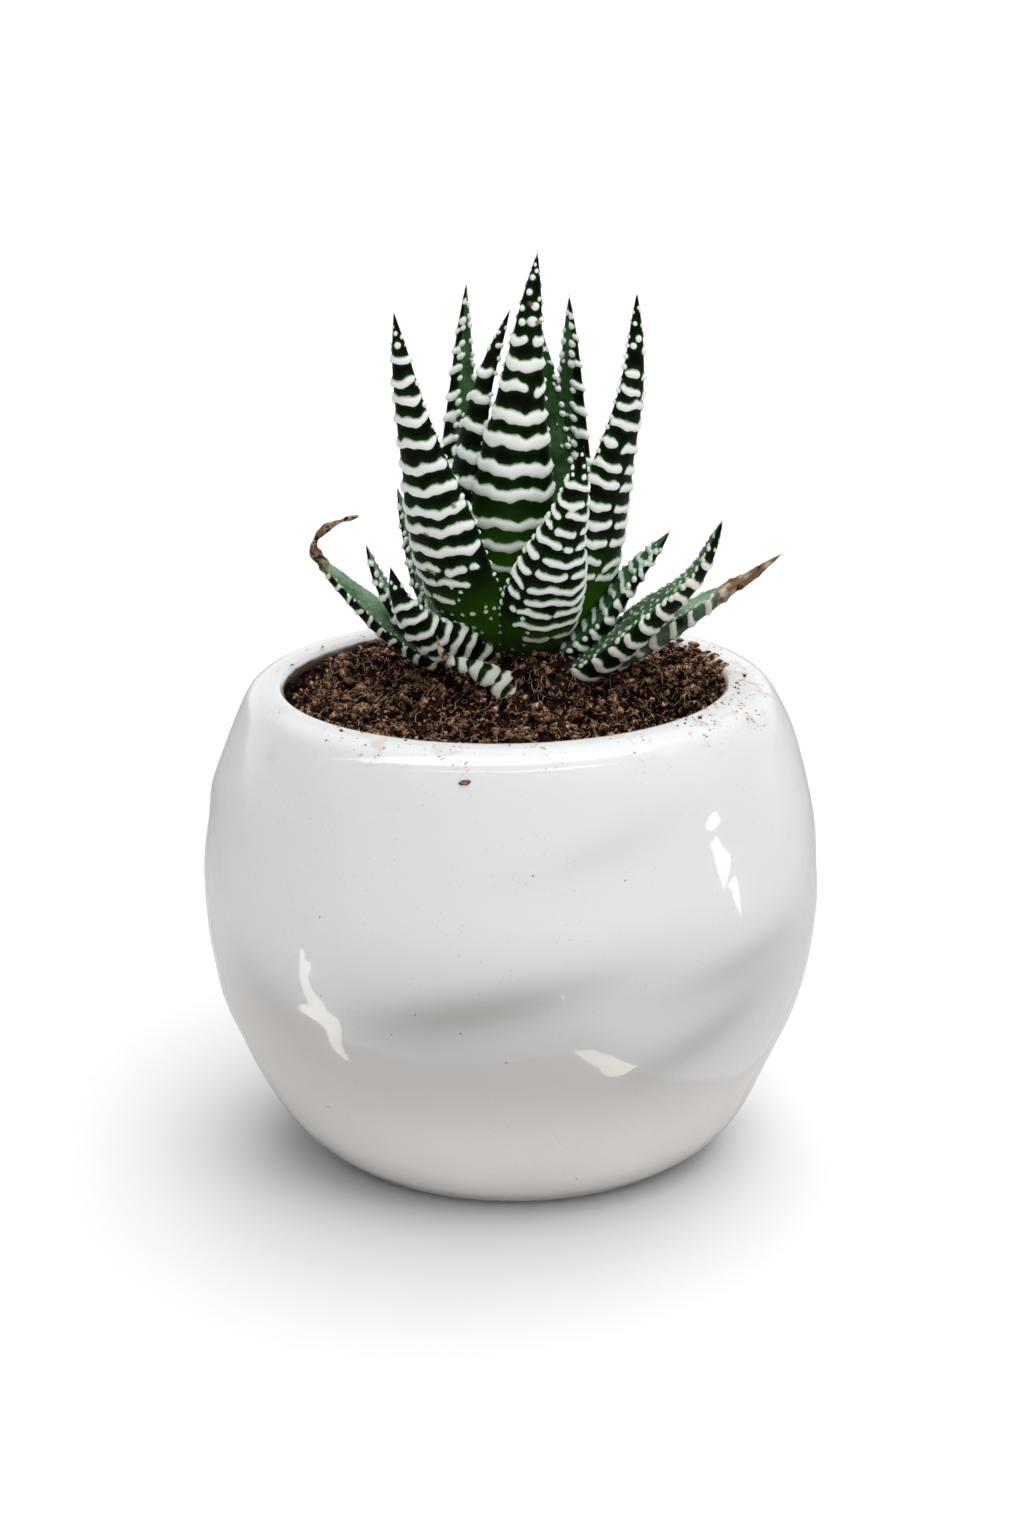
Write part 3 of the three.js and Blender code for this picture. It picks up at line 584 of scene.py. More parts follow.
leaves = [
    dict(name="leaf_centre", width=12.5, face=(0, -1, 0), smile=2.1, first=13.8, pitch=3.9, bare=0.12,
         fresh=0.5, mesh=fine_mesh, scars=[(7.6, 0.3, 0.35), (10.2, -1.3, 0.4)],
         rows=[(13.8, 1.5, 0.15), (17.3, 1.9), (20.8, 1.6, 0.3), (24.6, 2.0), (28.4, 2.1), (32.4, 2.0),
               (36.3, 1.8), (40.4, 1.6), (43.8, 1.4), (46.8, 1.0)],
         line=[(1.5, -1, 77), (0.3, -4, 93.5), (0.8, -5.5, 108.5), (2.3, -5.5, 124), (4, -4.5, 138.5)]),
    dict(name="leaf_left_inner", width=10.5, face=(-0.85, -0.5, 0), first=10, pitch=4, band=(1.4, 1.8, 1.4),
         smile=0.8, dash=5, joined=0.7, fresh=0.35, mesh=fine_mesh,
         line=[(-0.5, 1.5, 77.5), (-4, -0.5, 90), (-5.5, -1.5, 103.5), (-4, -1, 116.5), (0, 0.5, 129)]),
    dict(back, name="leaf_back_left", width=9.5, face=(-0.62, 0.78, -0.1), first=7, pitch=3.4,
         band=(1.2, 1.5, 1.3), dash=3.6, wrap=(1.35, 1.05), margin=0.5,
         line=[(0.5, 4, 78), (-4.6, 7.5, 91.5), (-7, 10, 104.5), (-7, 11.5, 118), (-6.5, 12, 131)]),
    dict(back, name="leaf_back_inner", width=9, face=(0.2, 1, 0), first=6, pitch=3.6,
         line=[(2.5, 4, 78), (5.5, 6.5, 90), (6, 8.5, 102), (6, 9.5, 113), (4.7, 9.5, 124.5)]),
    dict(back, name="leaf_back_right", width=9.5, face=(0.52, 0.85, 0), first=7, pitch=3.6,
         band=(1.2, 1.4, 1.3), wrap=(1.05, 1.45), margin=0.55,
         line=[(4, 4, 78), (7, 7, 90), (8.5, 9.5, 103), (9, 11, 116.5), (8.8, 11, 129.5)]),
    dict(name="leaf_front_left", width=13, face=(-0.6, -0.8, -0.1), smile=1.1, dash=6.5, first=7.4, pitch=3.15,
         bare=0.2, bare_side=-1.5, fresh=0.36, mesh=fine_mesh,
         scars=[(32.4, 0.3, 0.5), (38.6, 1.4, 0.6), (28.4, -4.8, 0.3)],
         rows=[(7.4, 1.1), (10.2, 1.2), (13.0, 1.3), (16.3, 1.35), (19.4, 1.35), (23.1, 1.45), (26.4, 1.45),
               (30.0, 1.5), (32.9, 1.5), (36.0, 1.45), (38.9, 1.25, 0.1, 0.6), (41.0, 1.1, -0.1),
               (43.6, 1.0, -0.4)],
         line=[(-0.5, -0.5, 76.5), (-6.5, -6, 88.5), (-10.6, -10, 103), (-14.2, -12.5, 117.5),
               (-16.5, -13, 131)]),
    dict(name="leaf_right", width=12.5, face=(0.8, -0.6, 0), smile=0.7, drop=0.9, first=11.7, pitch=2.9,
         bare=0.16, fresh=0.42, mesh=fine_mesh,
         rows=[(11.7, 1.15, 0.0), (14.2, 1.15, 0.1), (16.5, 1.25), (19.3, 1.35), (22.0, 1.35, -0.45),
               (25.4, 1.35, -0.1), (28.0, 1.3, -0.1), (31.1, 1.3, -0.2), (33.9, 1.3, -0.1),
               (36.6, 1.25, -0.15), (39.6, 1.2, -0.2), (41.9, 1.0, -0.3)],
         line=[(4, -0.5, 77), (10.2, -4, 89), (13.4, -6.5, 103.5), (17.2, -8, 119), (18.2, -8, 133)]),
    dict(name="leaf_front_right", width=11.9, face=(0.25, -1, -0.3), smile=2.7, first=7, pitch=2.4,
         bare_side=0.75, fresh=0.34, mesh=fine_mesh,
         rows=[(7.0, 0.95), (9.8, 1.1, 0.5), (11.7, 1.1, -0.35), (13.9, 1.1, -0.5, 0.35),
               (16.2, 1.1, 0.0, 0.3), (18.8, 1.1, -0.45), (21.2, 1.1, -0.5, 0.3), (23.4, 1.1, -0.55),
               (25.5, 1.0, -0.55), (27.6, 0.95, -0.6, 0.1), (30.0, 0.85, -0.5), (32.3, 0.7, -0.4, 0.2)],
         line=[(2.9, -2.5, 77), (4.5, -8.5, 87), (6.6, -12.5, 96), (9, -15, 104), (10.6, -16, 112.5)]),
    dict(name="leaf_left_small", width=8, face=(-0.9, 0.6, -0.4), first=3, pitch=2.9, band=(0.8, 1.1, 1.1),
         smile=0.4, dash=2.6, joined=0.3, wax=0.6, grains=2.5, margin=0.3,
         line=[(-1, 3, 76), (-8.5, 5, 81.5), (-12.5, 7, 87), (-15, 8.5, 93.5), (-17, 9.5, 100.5)]),
    dict(name="leaf_right_low_1", width=10.5, face=(0.35, 0.25, -1), first=3, pitch=2.5, band=(0.8, 1.1, 0.9),
         smile=0.5, dash=2.4, joined=0.4, wax=0.2, rungs=2.1,
         line=[(4.5, -1, 76.5), (9.5, -3, 81.5), (14.5, -4, 87), (19, -4.5, 92), (23.5, -4.5, 97)]),
    dict(name="leaf_right_low_2", width=12.5, face=(0.3, 0.08, -1), first=7, pitch=2.9, band=(0.8, 1.2, 1.25),
         smile=0.3, dash=9, joined=0.9, wax=0.35, cream=0.8, dull=0.15, low=0.75, fresh=0.22, grains=1.45,
         wrap=(1.06, 1.06),
         line=[(5.5, -1.5, 74.5), (12, -5, 78.7), (19, -7.5, 85), (26.5, -9, 91.6), (31, -9.5, 100)]),
    dict(name="leaf_right_dried", width=10, face=(0.2, 0.05, -1), first=5, pitch=3, band=(0.9, 1.35, 1.35),
         smile=0.3, dash=4, joined=0.6, wax=0.8, cream=0.7, dry=12, pale=0.3, dull=0.35, low=0.7, grains=2.0,
         wrap=(1.15, 1.15),
         line=[(6, 0, 74), (15, -1, 78), (23.5, -1.5, 82.7), (32.5, -1.5, 88), (40.5, -1.5, 93)]),
    dict(name="leaf_left_curled", width=9, face=(-0.3, -0.9, -0.5), first=6.5, pitch=2.5,
         band=(0.9, 1.15, 1.05), smile=0.5, dash=8, joined=0.9, cream=0.1,
         line=[(-0.5, -1.5, 77), (-6.5, -4, 79.5), (-12.5, -7, 83), (-16, -9, 88), (-17.5, -10, 93)]),
    dict(name="leaf_left_low", width=8.5, face=(-0.3, 0.1, -1), first=3, pitch=2.9, band=(0.8, 1.2, 1.2),
         smile=0.4, dash=3, joined=0.4, wax=0.8, grains=2.2,
         line=[(-1.5, 1.5, 75), (-8.5, 2, 77.5), (-15, 2, 82), (-19, 2, 87.5), (-21.5, 2, 93.5)]),
    dict(name="leaf_left_dried", width=9.5, face=(-0.3, 0.22, -1), first=2, pitch=2.25, band=(0.6, 0.65, 0.7),
         smile=0.2, dash=9, joined=0.9, wax=1, cream=0.8, thread=12, blunt=6, dry=0.8,
         wrap=(1.04, 1.04), margin=0.18, low=0.5,
         line=[(-2, 2, 74), (-10.5, 3, 76.8), (-19, 4, 82), (-27, 4.5, 89), (-29.5, 4.5, 92.5),
               (-27.2, 4, 95.7), (-22.8, 3.5, 97.5)]),
    dict(name="leaf_stub", width=6.5, face=(-0.1, -0.7, 0.7), first=1.2, pitch=2.1, band=(1.3, 1.55, 1.55),
         smile=0.2, dash=9, joined=0.9, cream=0.3, dull=0.6, low=0.55, margin=0.2, thread=3.2, blunt=2.5,
         dry=0.5,
         line=[(3, -2, 72), (4.6, -8, 70.6), (2.2, -12, 73.2), (-3.6, -13, 77.5), (-9.4, -12.7, 80),
               (-10.7, -12.5, 83.2)]),
    dict(rear, name="leaf_rear_middle", face=(0, 0.6, -0.8), wax=0.5,
         line=[(2.5, 3.5, 76), (2.5, 10, 81), (2.5, 16, 86), (2.5, 21, 91.5), (2.5, 25, 97)]),
    dict(rear, name="leaf_rear_right", face=(0.4, 0.5, -0.8),
         line=[(4, 3, 76), (7.5, 9, 80.5), (11, 14.5, 85.5), (13.5, 18.5, 91), (15.5, 21.5, 97)]),
    dict(rear, name="leaf_rear_left", face=(-0.4, 0.5, -0.8),
         line=[(1, 3, 76), (-2.5, 9, 80.5), (-6, 14.5, 85.5), (-9, 18.5, 91), (-11, 21.5, 97)]),
    dict(rear_low, name="leaf_rear_low_right", face=(0.2, 0.3, -1),
         line=[(3.5, 3, 74), (7, 11, 77.5), (10, 18, 80.5), (12, 23.5, 83.5), (13, 28, 87)]),
    dict(rear_low, name="leaf_rear_low_left", face=(-0.2, 0.3, -1),
         line=[(1.5, 3, 74), (-2, 11, 77.5), (-5, 18, 80.5), (-7, 23.5, 83.5), (-8.5, 28, 87)]),
]


def ease(value, low, high):
    """0 below low, 1 above high and smooth between, on arrays."""
    t = np.clip((value - low) / (high - low), 0, 1)
    return t * t * (3 - 2 * t)


def unit(vectors):
    """The same ways with a length of 1."""
    return vectors / np.linalg.norm(vectors, axis=-1, keepdims=True)


def ridge_rows(leaf, length, rng):
    """Distance from the tip and thickness of each ridge, and its cuts where they are given."""
    if "rows" in leaf:
        return leaf["rows"]
    thread = leaf["thread"]
    row, rows = thread + leaf["first"], []
    while row < length * (1 - leaf["bare"]):
        share = (row - thread) / (length - thread)
        rows.append((row, np.interp(share, (0.15, 0.5, 0.95), leaf["band"]) * rng.uniform(0.92, 1.08)))
        row += leaf["pitch"] * rng.uniform(0.97, 1.03)
    return rows


def ridge_pearls(leaf, length, edge_at, rng):
    """Long pearls that make the ridges: place round from the keel, half length, distance from the tip,
    half thickness towards the root and the tip, turning up at the ends, edge of the leaf, and wave."""
    pearls = []
    for row, thick, *shares in ridge_rows(leaf, length, rng):
        edge = edge_at(row)
        low, high = -edge * leaf["wrap"][0], edge * leaf["wrap"][1]
        bare = leaf["bare_side"] * edge * ease(row / length, 0.60, 0.86)
        low, high = low + max(-bare, 0), high - max(bare, 0)
        if "rows" in leaf:
            given = [-edge * share for share in shares[::-1] if -edge * share > low + 0.8]
            cuts = np.array([low] + given + [high])
        else:
            count = max(1, round((high - low) / (leaf["dash"] * rng.uniform(0.85, 1.15))))
            cuts = low + (high - low) * np.arange(count + 1) / count
            cuts[1:-1] += rng.uniform(-0.22, 0.22, count - 1) * (high - low) / count
        wave = rng.uniform(0, 6.28)
        for start, end in zip(cuts[:-1], cuts[1:]):
            joined = rng.random() < leaf["joined"]
            gap = 0.1 if joined else rng.uniform(0.35, 0.6) * thick
            half = max(0.15, (end - start - gap - 0.9 * thick) / 2)
            jump = 0 if joined else rng.normal(0, 0.16)
            if end < 0.5 * edge and len(cuts) > 2 and start == low:
                jump += leaf["drop"]
            size = thick * rng.uniform(0.94, 1.06)
            middle = (start + end) / 2
            pearls.append((middle, half, row + jump, 0.38 * size, 0.62 * size, leaf["smile"], edge, wave))
    return pearls


def single_pearls(leaf, length, edge_at, girth_at, rng):
    """Round pearls, given as ridge_pearls gives them."""
    thread, pearls = leaf["thread"], []

    def dot(place, row, size, stretch=1.0):
        pearls.append((place, 0, row, size * stretch, size * stretch, 0, 1, 0))

    # From the tip to the first ridge: one, two or three abreast, growing larger
    row, turn = thread + 1.6, 1
    while row < thread + leaf["first"] - 2.0:
        edge = edge_at(row)
        size = min(0.72, 0.17 + 0.048 * (row - thread))
        count = 1 if edge < 1.5 else 2 if edge < 2.4 else 3
        for k in range(count):
            spread = 0.2 * turn if count == 1 else (k - (count - 1) / 2) * 1.7 / count + 0.16 * turn
            outer = 0.7 if abs(spread) > 0.35 else 1.0
            dot(edge * spread, row + rng.normal(0, 0.35), outer * size * rng.uniform(0.85, 1.1), 1.25)
        row += 0.95 + 1.9 * size
        turn = -turn

    # Along both margins, some with a smaller one inside
    row = thread + 3
    while row < length * 0.96:
        edge = edge_at(row)
        for side, wrap in zip((-1, 1), leaf["wrap"]):
            size = leaf["margin"] * rng.uniform(0.8, 1.2)
            dot(side * edge * (wrap + rng.uniform(-0.02, 0.10)), row + rng.normal(0, 0.3), size, 1.15)
            if rng.random() < 0.3:
                dot(side * edge * (wrap + rng.uniform(0.2, 0.45)), row + rng.normal(0, 0.6), 0.6 * size)
        row += leaf["pitch"] * rng.uniform(0.45, 0.65)

    # Small ones below the last ridge, and on a side that stays bare
    row = length * (1 - leaf["bare"]) - leaf["pitch"] * 0.4
    while row < length * 0.99:
        edge = edge_at(row)
        place = -edge + rng.uniform(0, 1.2)
        while place < edge:
            if rng.random() < 0.6:
                dot(place, row + rng.normal(0, 0.25), rng.uniform(0.26, 0.42))
            place += rng.uniform(1.3, 2.2)
        row += 1.7
    if leaf["bare_side"]:
        for row in np.arange(length * 0.66, length * 0.95, 1.5):
            edge = edge_at(row)
            place = np.sign(leaf["bare_side"]) * edge * rng.uniform(0.2, 1.0) * ease(row / length, 0.5, 0.85)
            dot(place, row + rng.normal(0, 0.4), rng.uniform(0.26, 0.42))

    # Inside, grains or long low rungs on both sides of the middle
    row = thread + 4
    while leaf["grains"] and row < length * 0.97:
        place, far = edge_at(row) * leaf["wrap"][0] * 1.12, girth_at(row) / 2
        while place < far:
            for side in (-1, 1):
                dot(side * (place + rng.normal(0, 0.2)), row + rng.normal(0, 0.25), rng.uniform(0.24, 0.44))
            place += leaf["grains"] * rng.uniform(0.8, 1.2)
        row += leaf["grains"] * rng.uniform(0.8, 1.1)
    row = thread + 4
    while leaf["rungs"] and row < length * 0.97:
        near, far = edge_at(row) * 1.15, girth_at(row) / 2
        for side in (-1, 1):
            middle, half = side * (near + far) / 2, (far - near) * 0.42
            pearls.append((middle, half, row, 0.3, 0.5, 0, 1, rng.uniform(0, 6.28)))
        row += leaf["rungs"] * rng.uniform(0.9, 1.1)
    return pearls


def pearl_level(around_leaf, distance, pearls):
    """1 on the crest of a pearl, 0 at its edge and negative outside, with touching pearls run together."""
    heat = np.full(around_leaf.shape, np.exp(-pearl_merge * flat_level))
    for middle, half, row, below, above, smile, edge, wave in pearls:
        near = np.abs(distance[:, 0] - row) < above + 1.4 * abs(smile) + 3
        place = around_leaf[near]
        out = place / edge
        line = row - smile * np.minimum(np.abs(out) ** 4, 1.4) - (1 - np.minimum(out**2, 1)) * 0.4 * smile
        ragged = 1.0
        if half:
            line = line + 0.26 * np.sin(1.05 * place + wave) + 0.09 * np.sin(2.6 * place + 2.1 * wave)
            ragged = 1 + 0.13 * np.sin(1.9 * place + 3 * wave) + 0.05 * np.sin(4.3 * place + wave)
        off = (distance[near] - line) / ragged
        past = np.maximum(np.abs(place - middle) - half, 0)
        fade = 0.8 * above + (0.5 if half else 0.2)
        soft = np.interp(-off, (0, 0.8 * above, fade, fade + 0.7, fade + 2), (0, 0.86, 1.14, 2.2, 3.2))
        level = 1 - np.hypot(past / (0.5 * (below + above)), np.where(off > 0, off / below, soft))
        heat[near] += np.exp(pearl_merge * np.maximum(level, -flat_level))
    return np.log(heat) / pearl_merge


def leaf_shape(leaf, seed):
    """Points, faces and paint of one leaf."""
    rng = np.random.default_rng(seed)

    # The middle line from the stem to the tip, and the ways along, out of and across the leaf
    centre = spline(leaf["line"], 400)
    steps = np.linalg.norm(np.diff(centre, axis=0), axis=1)
    length = steps.sum()
    row_step, around = leaf["mesh"]
    rows = int(length / row_step)
    from_tip = np.linspace(length, 0, rows + 1)
    travelled = np.concatenate([[0], np.cumsum(steps)])
    middle = np.stack([np.interp(length - from_tip, travelled, centre[:, k]) for k in range(3)], 1)
    along = unit(np.gradient(middle, axis=0))
    face = np.array(leaf["face"], float)
    out = unit(face - along * (along @ face)[:, None])
    side = np.cross(along, out)

    # Half width and thickness at each row, with the tip shrunk to a knotty thread where it has dried so
    thread, blunt = leaf["thread"], leaf["blunt"]
    blade = np.maximum(from_tip - thread + blunt, 0) / (length - thread + blunt)
    share = np.interp(blade, leaf_taper[:, 0], leaf_taper[:, 1])
    knots = noise(from_tip * 0.8, 0 * from_tip, 0 * from_tip, seed)
    slim = thread_radius * (1 + 0.55 * knots) * np.clip(0.25 + from_tip / 12, 0, 1.1)
    is_thread = 1 - ease(from_tip, thread - 0.6, thread + 0.9) if thread else 0 * from_tip
    half = np.maximum(tip_radius * np.clip(from_tip, 0.02, 1), 0.5 * leaf["width"] * share)
    thick = np.maximum(2 * half * 0.8 * (share < 0.08), leaf_thickness * leaf["width"] * share**0.75)
    half = half * (1 - is_thread) + slim * is_thread
    thick = thick * (1 - is_thread) + 2 * slim * is_thread

    # The smooth skin, and the way straight out of it at each point
    turn = np.linspace(-np.pi, np.pi, around, endpoint=False)
    cos, sin = np.cos(turn), np.sin(turn)
    depth = np.where(sin > 0, outer_share, 1 - outer_share)
    depth = depth * (1 - is_thread[:, None]) + 0.5 * is_thread[:, None]
    column = 0 * from_tip[:, None]
    ripple = noise(from_tip[:, None] / 2.2 + 0 * turn, 1.6 * cos + column, 1.6 * sin + column, seed)
    ripple = 1 + 0.02 * ripple
    x_off = half[:, None] * cos * ripple
    y_off = thick[:, None] * depth * sin * ripple
    points = middle[:, None] + side[:, None] * x_off[..., None] + out[:, None] * y_off[..., None]
    sideways, outwards = cos / half[:, None], sin / (thick[:, None] * depth)
    lift = unit(side[:, None] * sideways[..., None] + out[:, None] * outwards[..., None] + 1e-9)

    # How far each point is round from the keel, above 0 to the left and below 0 to the right
    hop = np.linalg.norm(np.roll(points, -1, 1) - points, axis=2)
    keel = int(np.argmin(np.abs(turn - np.pi / 2)))
    walked = np.cumsum(np.roll(hop, -keel, 1), axis=1)
    walked = np.roll(np.concatenate([0 * walked[:, :1], walked[:, :-1]], 1), keel, 1)
    girth = hop.sum(1)
    around_leaf = np.where(walked > girth[:, None] / 2, walked - girth[:, None], walked)
    edge_arc = np.abs(around_leaf[:, int(np.argmin(np.abs(turn)))])

    def edge_at(row):
        """How far the margin is from the keel."""
        return np.interp(row, from_tip[::-1], edge_arc[::-1])

    def girth_at(row):
        """How far it is all the way round."""
        return np.interp(row, from_tip[::-1], girth[::-1])

    # Where the pearls, the inner face, the fresh base and the dried tip are
    distance = from_tip[:, None] + 0 * around_leaf
    pearls = ridge_pearls(leaf, length, edge_at, rng) + single_pearls(leaf, length, edge_at, girth_at, rng)
    level = pearl_level(around_leaf, distance, pearls)
    level = level - 2.5 * is_thread[:, None] - 1.2 * ease(distance, length * 0.97, length)
    wrap = np.where(around_leaf < 0, *leaf["wrap"])
    inner = ease(np.abs(around_leaf) / edge_arc[:, None] / wrap, 0.98, 1.08)
    fresh_reach = leaf["fresh"] * length
    fresh = ease(distance, length - fresh_reach, length - 0.2 * fresh_reach)
    slender = np.clip(half / 1.6, 0.25, 1)[:, None]
    crumple = noise(around_leaf * 0.9, distance * 0.45, 0 * distance, seed + 40)
    dry_reach = thread + leaf["dry"]
    frayed = 1.4 * noise(around_leaf * 0.7, distance * 0.6, 0 * distance, seed + 80)
    torn = distance + frayed * min(1, leaf["dry"])
    dry = 1 - ease(torn, dry_reach * 0.8, dry_reach * 1.12)

    # Pearls raise the skin and drying crumples it. Scars only colour it
    relief = pearl_height * leaf["low"] * ease(level, -0.15, 0.6) * slender * (1 - 0.5 * dry)
    relief = relief + dry * (0.35 * crumple - 0.15) * np.clip(half / 1.2, 0.2, 1)[:, None]
    points = points + lift * relief[..., None]
    for scar_row, scar_place, size in leaf["scars"]:
        away = np.hypot(distance - scar_row, (around_leaf - scar_place) * 0.6) / size
        away = away + 0.5 * noise(around_leaf * 2.2, distance * 2.2, 0 * distance, seed)
        dry = np.maximum(dry, (1 - ease(away, 0.4, 1.2)) * scar_strength)

    # Both ends are closed with a point
    tip = middle[-1] + along[-1] * 0.15
    vertices = np.vstack([points.reshape(-1, 3), middle[0], tip])
    faces = [face[::-1] for face in ring_faces(rows + 1, around)]
    first, last = len(vertices) - 2, rows * around
    for i in range(around):
        j = (i + 1) % around
        faces.append((first, i, j))
        faces.append((first + 1, last + j, last + i))
    level = np.clip((level + flat_level) / (1 + flat_level), 0, 1)
    paint = np.stack([level, fresh, inner, dry], -1).reshape(-1, 4)
    return vertices, faces, np.vstack([paint, [[0, 1, 0, 0], [0, 0, 0, 1]]])


def waxy_leaf(name, wax, cream, pale, dull):
    """Skin of a leaf. Its paint: how high the pearls are, the fresh base, the inner face, the dry parts."""
    shade, green, lime = (0.0034, 0.0037, 0.0025), (0.0048, 0.022, 0.0023), (0.046, 0.165, 0.004)
    hollow, sage, soil_and_shade = (0.020, 0.058, 0.016), (0.070, 0.160, 0.062), (0.012, 0.011, 0.008)
    dusk, bloom, mint = (0.055, 0.125, 0.066), (0.27, 0.41, 0.28), (0.42, 0.56, 0.46)
    shade_band_and_thin_wax, chalk, aged = (0.50, 0.60, 0.50), (0.90, 0.93, 0.91), (0.82, 0.77, 0.64)
    shaded, greyed = (0.30, 0.34, 0.28), (0.36, 0.39, 0.33)
    straw, tan, bark = (0.47, 0.38, 0.27), (0.18, 0.11, 0.066), (0.030, 0.014, 0.008)
    material, start = new_finish(name)
    stored, fresh, inner, dry = start.paint()
    height = start.place().parts()[2]
    mottle, fine = start.cloud(260, 3), start.cloud(1600, 3)

    # Green outside, with painted shade between the pearls: darkest away from them and greener close to them.
    # Pale at the base, and greyed by wax inside
    level = stored * (1 + flat_level) - flat_level + (fine - 0.5) * 0.22
    white = level.rise(-0.06, 0.16)
    lit = level.rise(-1.15, -0.05) * (mottle * 0.8 + 0.5)
    skin = lit.between(shade, green)
    skin = (fresh * (mottle * 0.5 + 0.6)).between(skin, lime)
    waxy = mottle * 0.7 + fine * 0.3
    inside = waxy.rise(0.35, 0.65).between(hollow, sage)
    if wax:
        inside = waxy.rise(0.30, 0.72).between(dusk, bloom)
    if 0 < wax < 1:
        inside = start.node("ShaderNodeMix", {"data_type": "RGBA"}, {0: wax, 6: (*hollow, 1), 7: inside}, 2)
    skin = inner.between(skin, inside)
    if pale:
        skin = (mottle.rise(0.2, 0.6) * pale).between(skin, bloom)

    # White pearls, duller with age and greyed by painted shade towards the base, with painted shade and soil
    # dust on the foot, and a husk where it has dried
    pearl = level.rise(0.02, 0.34).between(shade_band_and_thin_wax, chalk)
    # Painted shade on the pearls near the base
    pearl = (fresh * 0.62).between(pearl, shaded)
    if cream:
        pearl = (fine.rise(0.3, 0.7) * cream).between(pearl, aged)
    if dull:
        pearl = (mottle * 0.4 + dull - 0.2).between(pearl, greyed)
    if wax:
        pearl = (inner * 0.85).between(pearl, mint)
    skin = white.between(skin, pearl)
    # Painted shade and soil dust on the foot: near black low down where the base is fresh
    low_down = 1 - height.rise(76.5 * MM, 88.5 * MM)
    skin = (low_down * fresh.rise(0.1, 0.6) * (mottle * 0.4 + 0.75)).between(skin, soil_and_shade)
    husk = start.cloud(420, 4).rise(0.38, 0.54).between(straw, tan)
    husk = start.cloud(640, 3).rise(0.56, 0.64).between(husk, bark)
    start.surface({
        "Base Color": dry.between(skin, husk),
        "Roughness": white * 0.10 + inner * 0.12 + dry * 0.3 + 0.42,
        "Specular IOR Level": 0.04,
        "Normal": (fine * 0.7 + mottle).bumped(0.30, 0.25 * MM),
    })
    return material


leaf_skins = {}
for number, row in enumerate(leaves):
    leaf = dict(usual, **row)
    points, faces, paint = leaf_shape(leaf, 100 + number)
    age = (leaf["wax"], leaf["cream"], leaf["pale"], leaf["dull"])
    if age not in leaf_skins:
        leaf_skins[age] = waxy_leaf(f"leaf_skin_{len(leaf_skins) + 1}", *age)
    made = piece("dressed_" + leaf["name"], points, faces, leaf_skins[age], "leaf", [leaf["name"]])
    paint_on(made, paint)


# Loose crumbs
# Clods and grains of the same soil, up to about a millimetre. They lie loose on top of it, and some
# were spilt on the rim when the pot was filled, where they dried and stuck.

crumb_count = 2300
clod_count = 60
rim_crumb_count = 95
right_grain_count = 56
crumb_reach = 32.4


def lump(rng, size):
    """Points and faces of one rough grain: an octahedron split once and knocked out of true."""
    corners = [(1, 0, 0), (-1, 0, 0), (0, 1, 0), (0, -1, 0), (0, 0, 1), (0, 0, -1)]
    wings = [(0, 2, 4), (2, 1, 4), (1, 3, 4), (3, 0, 4), (2, 0, 5), (1, 2, 5), (3, 1, 5), (0, 3, 5)]
    points = [np.array(c, float) for c in corners]
    middles, faces = {}, []
    for wing in wings:
        mids = []
        for a, b in ((0, 1), (1, 2), (2, 0)):
            key = tuple(sorted((wing[a], wing[b])))
            if key not in middles:
                middles[key] = len(points)
                points.append(unit(points[key[0]] + points[key[1]]))
            mids.append(middles[key])
        faces += [(wing[k], mids[k], mids[k - 1]) for k in range(3)] + [tuple(mids)]
    points = np.array(points) * rng.uniform(0.65, 1.2, (len(points), 1))
    stretch = size * rng.uniform(0.6, 1.25, 3)
    spin = np.linalg.qr(rng.normal(size=(3, 3)))[0]
    spin[:, 0] *= np.linalg.det(spin)
    return (points * stretch) @ spin, faces


def gather(lumps):
    """One mesh from many lumps or hairs."""
    points, faces, count = [], [], 0
    for some, wings in lumps:
        points.append(some)
        faces += [tuple(count + k for k in wing) for wing in wings]
        count += len(some)
    return np.vstack(points), faces


def loose_on_soil(rng, count, sizes):
    """Grains scattered over the soil, most of them near the smaller of two sizes."""
    lumps = []
    for _ in range(count):
        reach, turn = crumb_reach * np.sqrt(rng.random()), rng.uniform(0, 2 * np.pi)
        x, y = reach * np.cos(turn), reach * np.sin(turn)
        size = sizes[0] + (sizes[1] - sizes[0]) * rng.random() ** 3
        points, faces = lump(rng, size)
        z = soil_height(np.array([x]), np.array([y]))[0] + 0.25 * size
        lumps.append((points + (x, y, z), faces))
    return gather(lumps)


crumb_finish = coir_soil("dry_crumb", (0.005, 0.003, 0.0022), (0.300, 0.145, 0.092), (0.47, 0.205, 0.11))
clod_finish = coir_soil("rusty_clod", (0.030, 0.014, 0.009), (0.26, 0.122, 0.068), (0.38, 0.18, 0.10))
crumbs = loose_on_soil(np.random.default_rng(7), crumb_count, (0.22, 0.85))
piece("soil_crumbs", *crumbs, crumb_finish, "potting_soil")
clods = loose_on_soil(np.random.default_rng(8), clod_count, (0.5, 1.2))
piece("rusty_clods", *clods, clod_finish, "potting_soil")

# Where grains lie on the rim: turn from the front in degrees, and share of them
spilt_at = [
    (48, 0.16), (66, 0.22), (84, 0.20), (-32, 0.12), (-64, 0.04), (-12, 0.06), (-110, 0.06),
    (-150, 0.05), (120, 0.05), (170, 0.04),
]


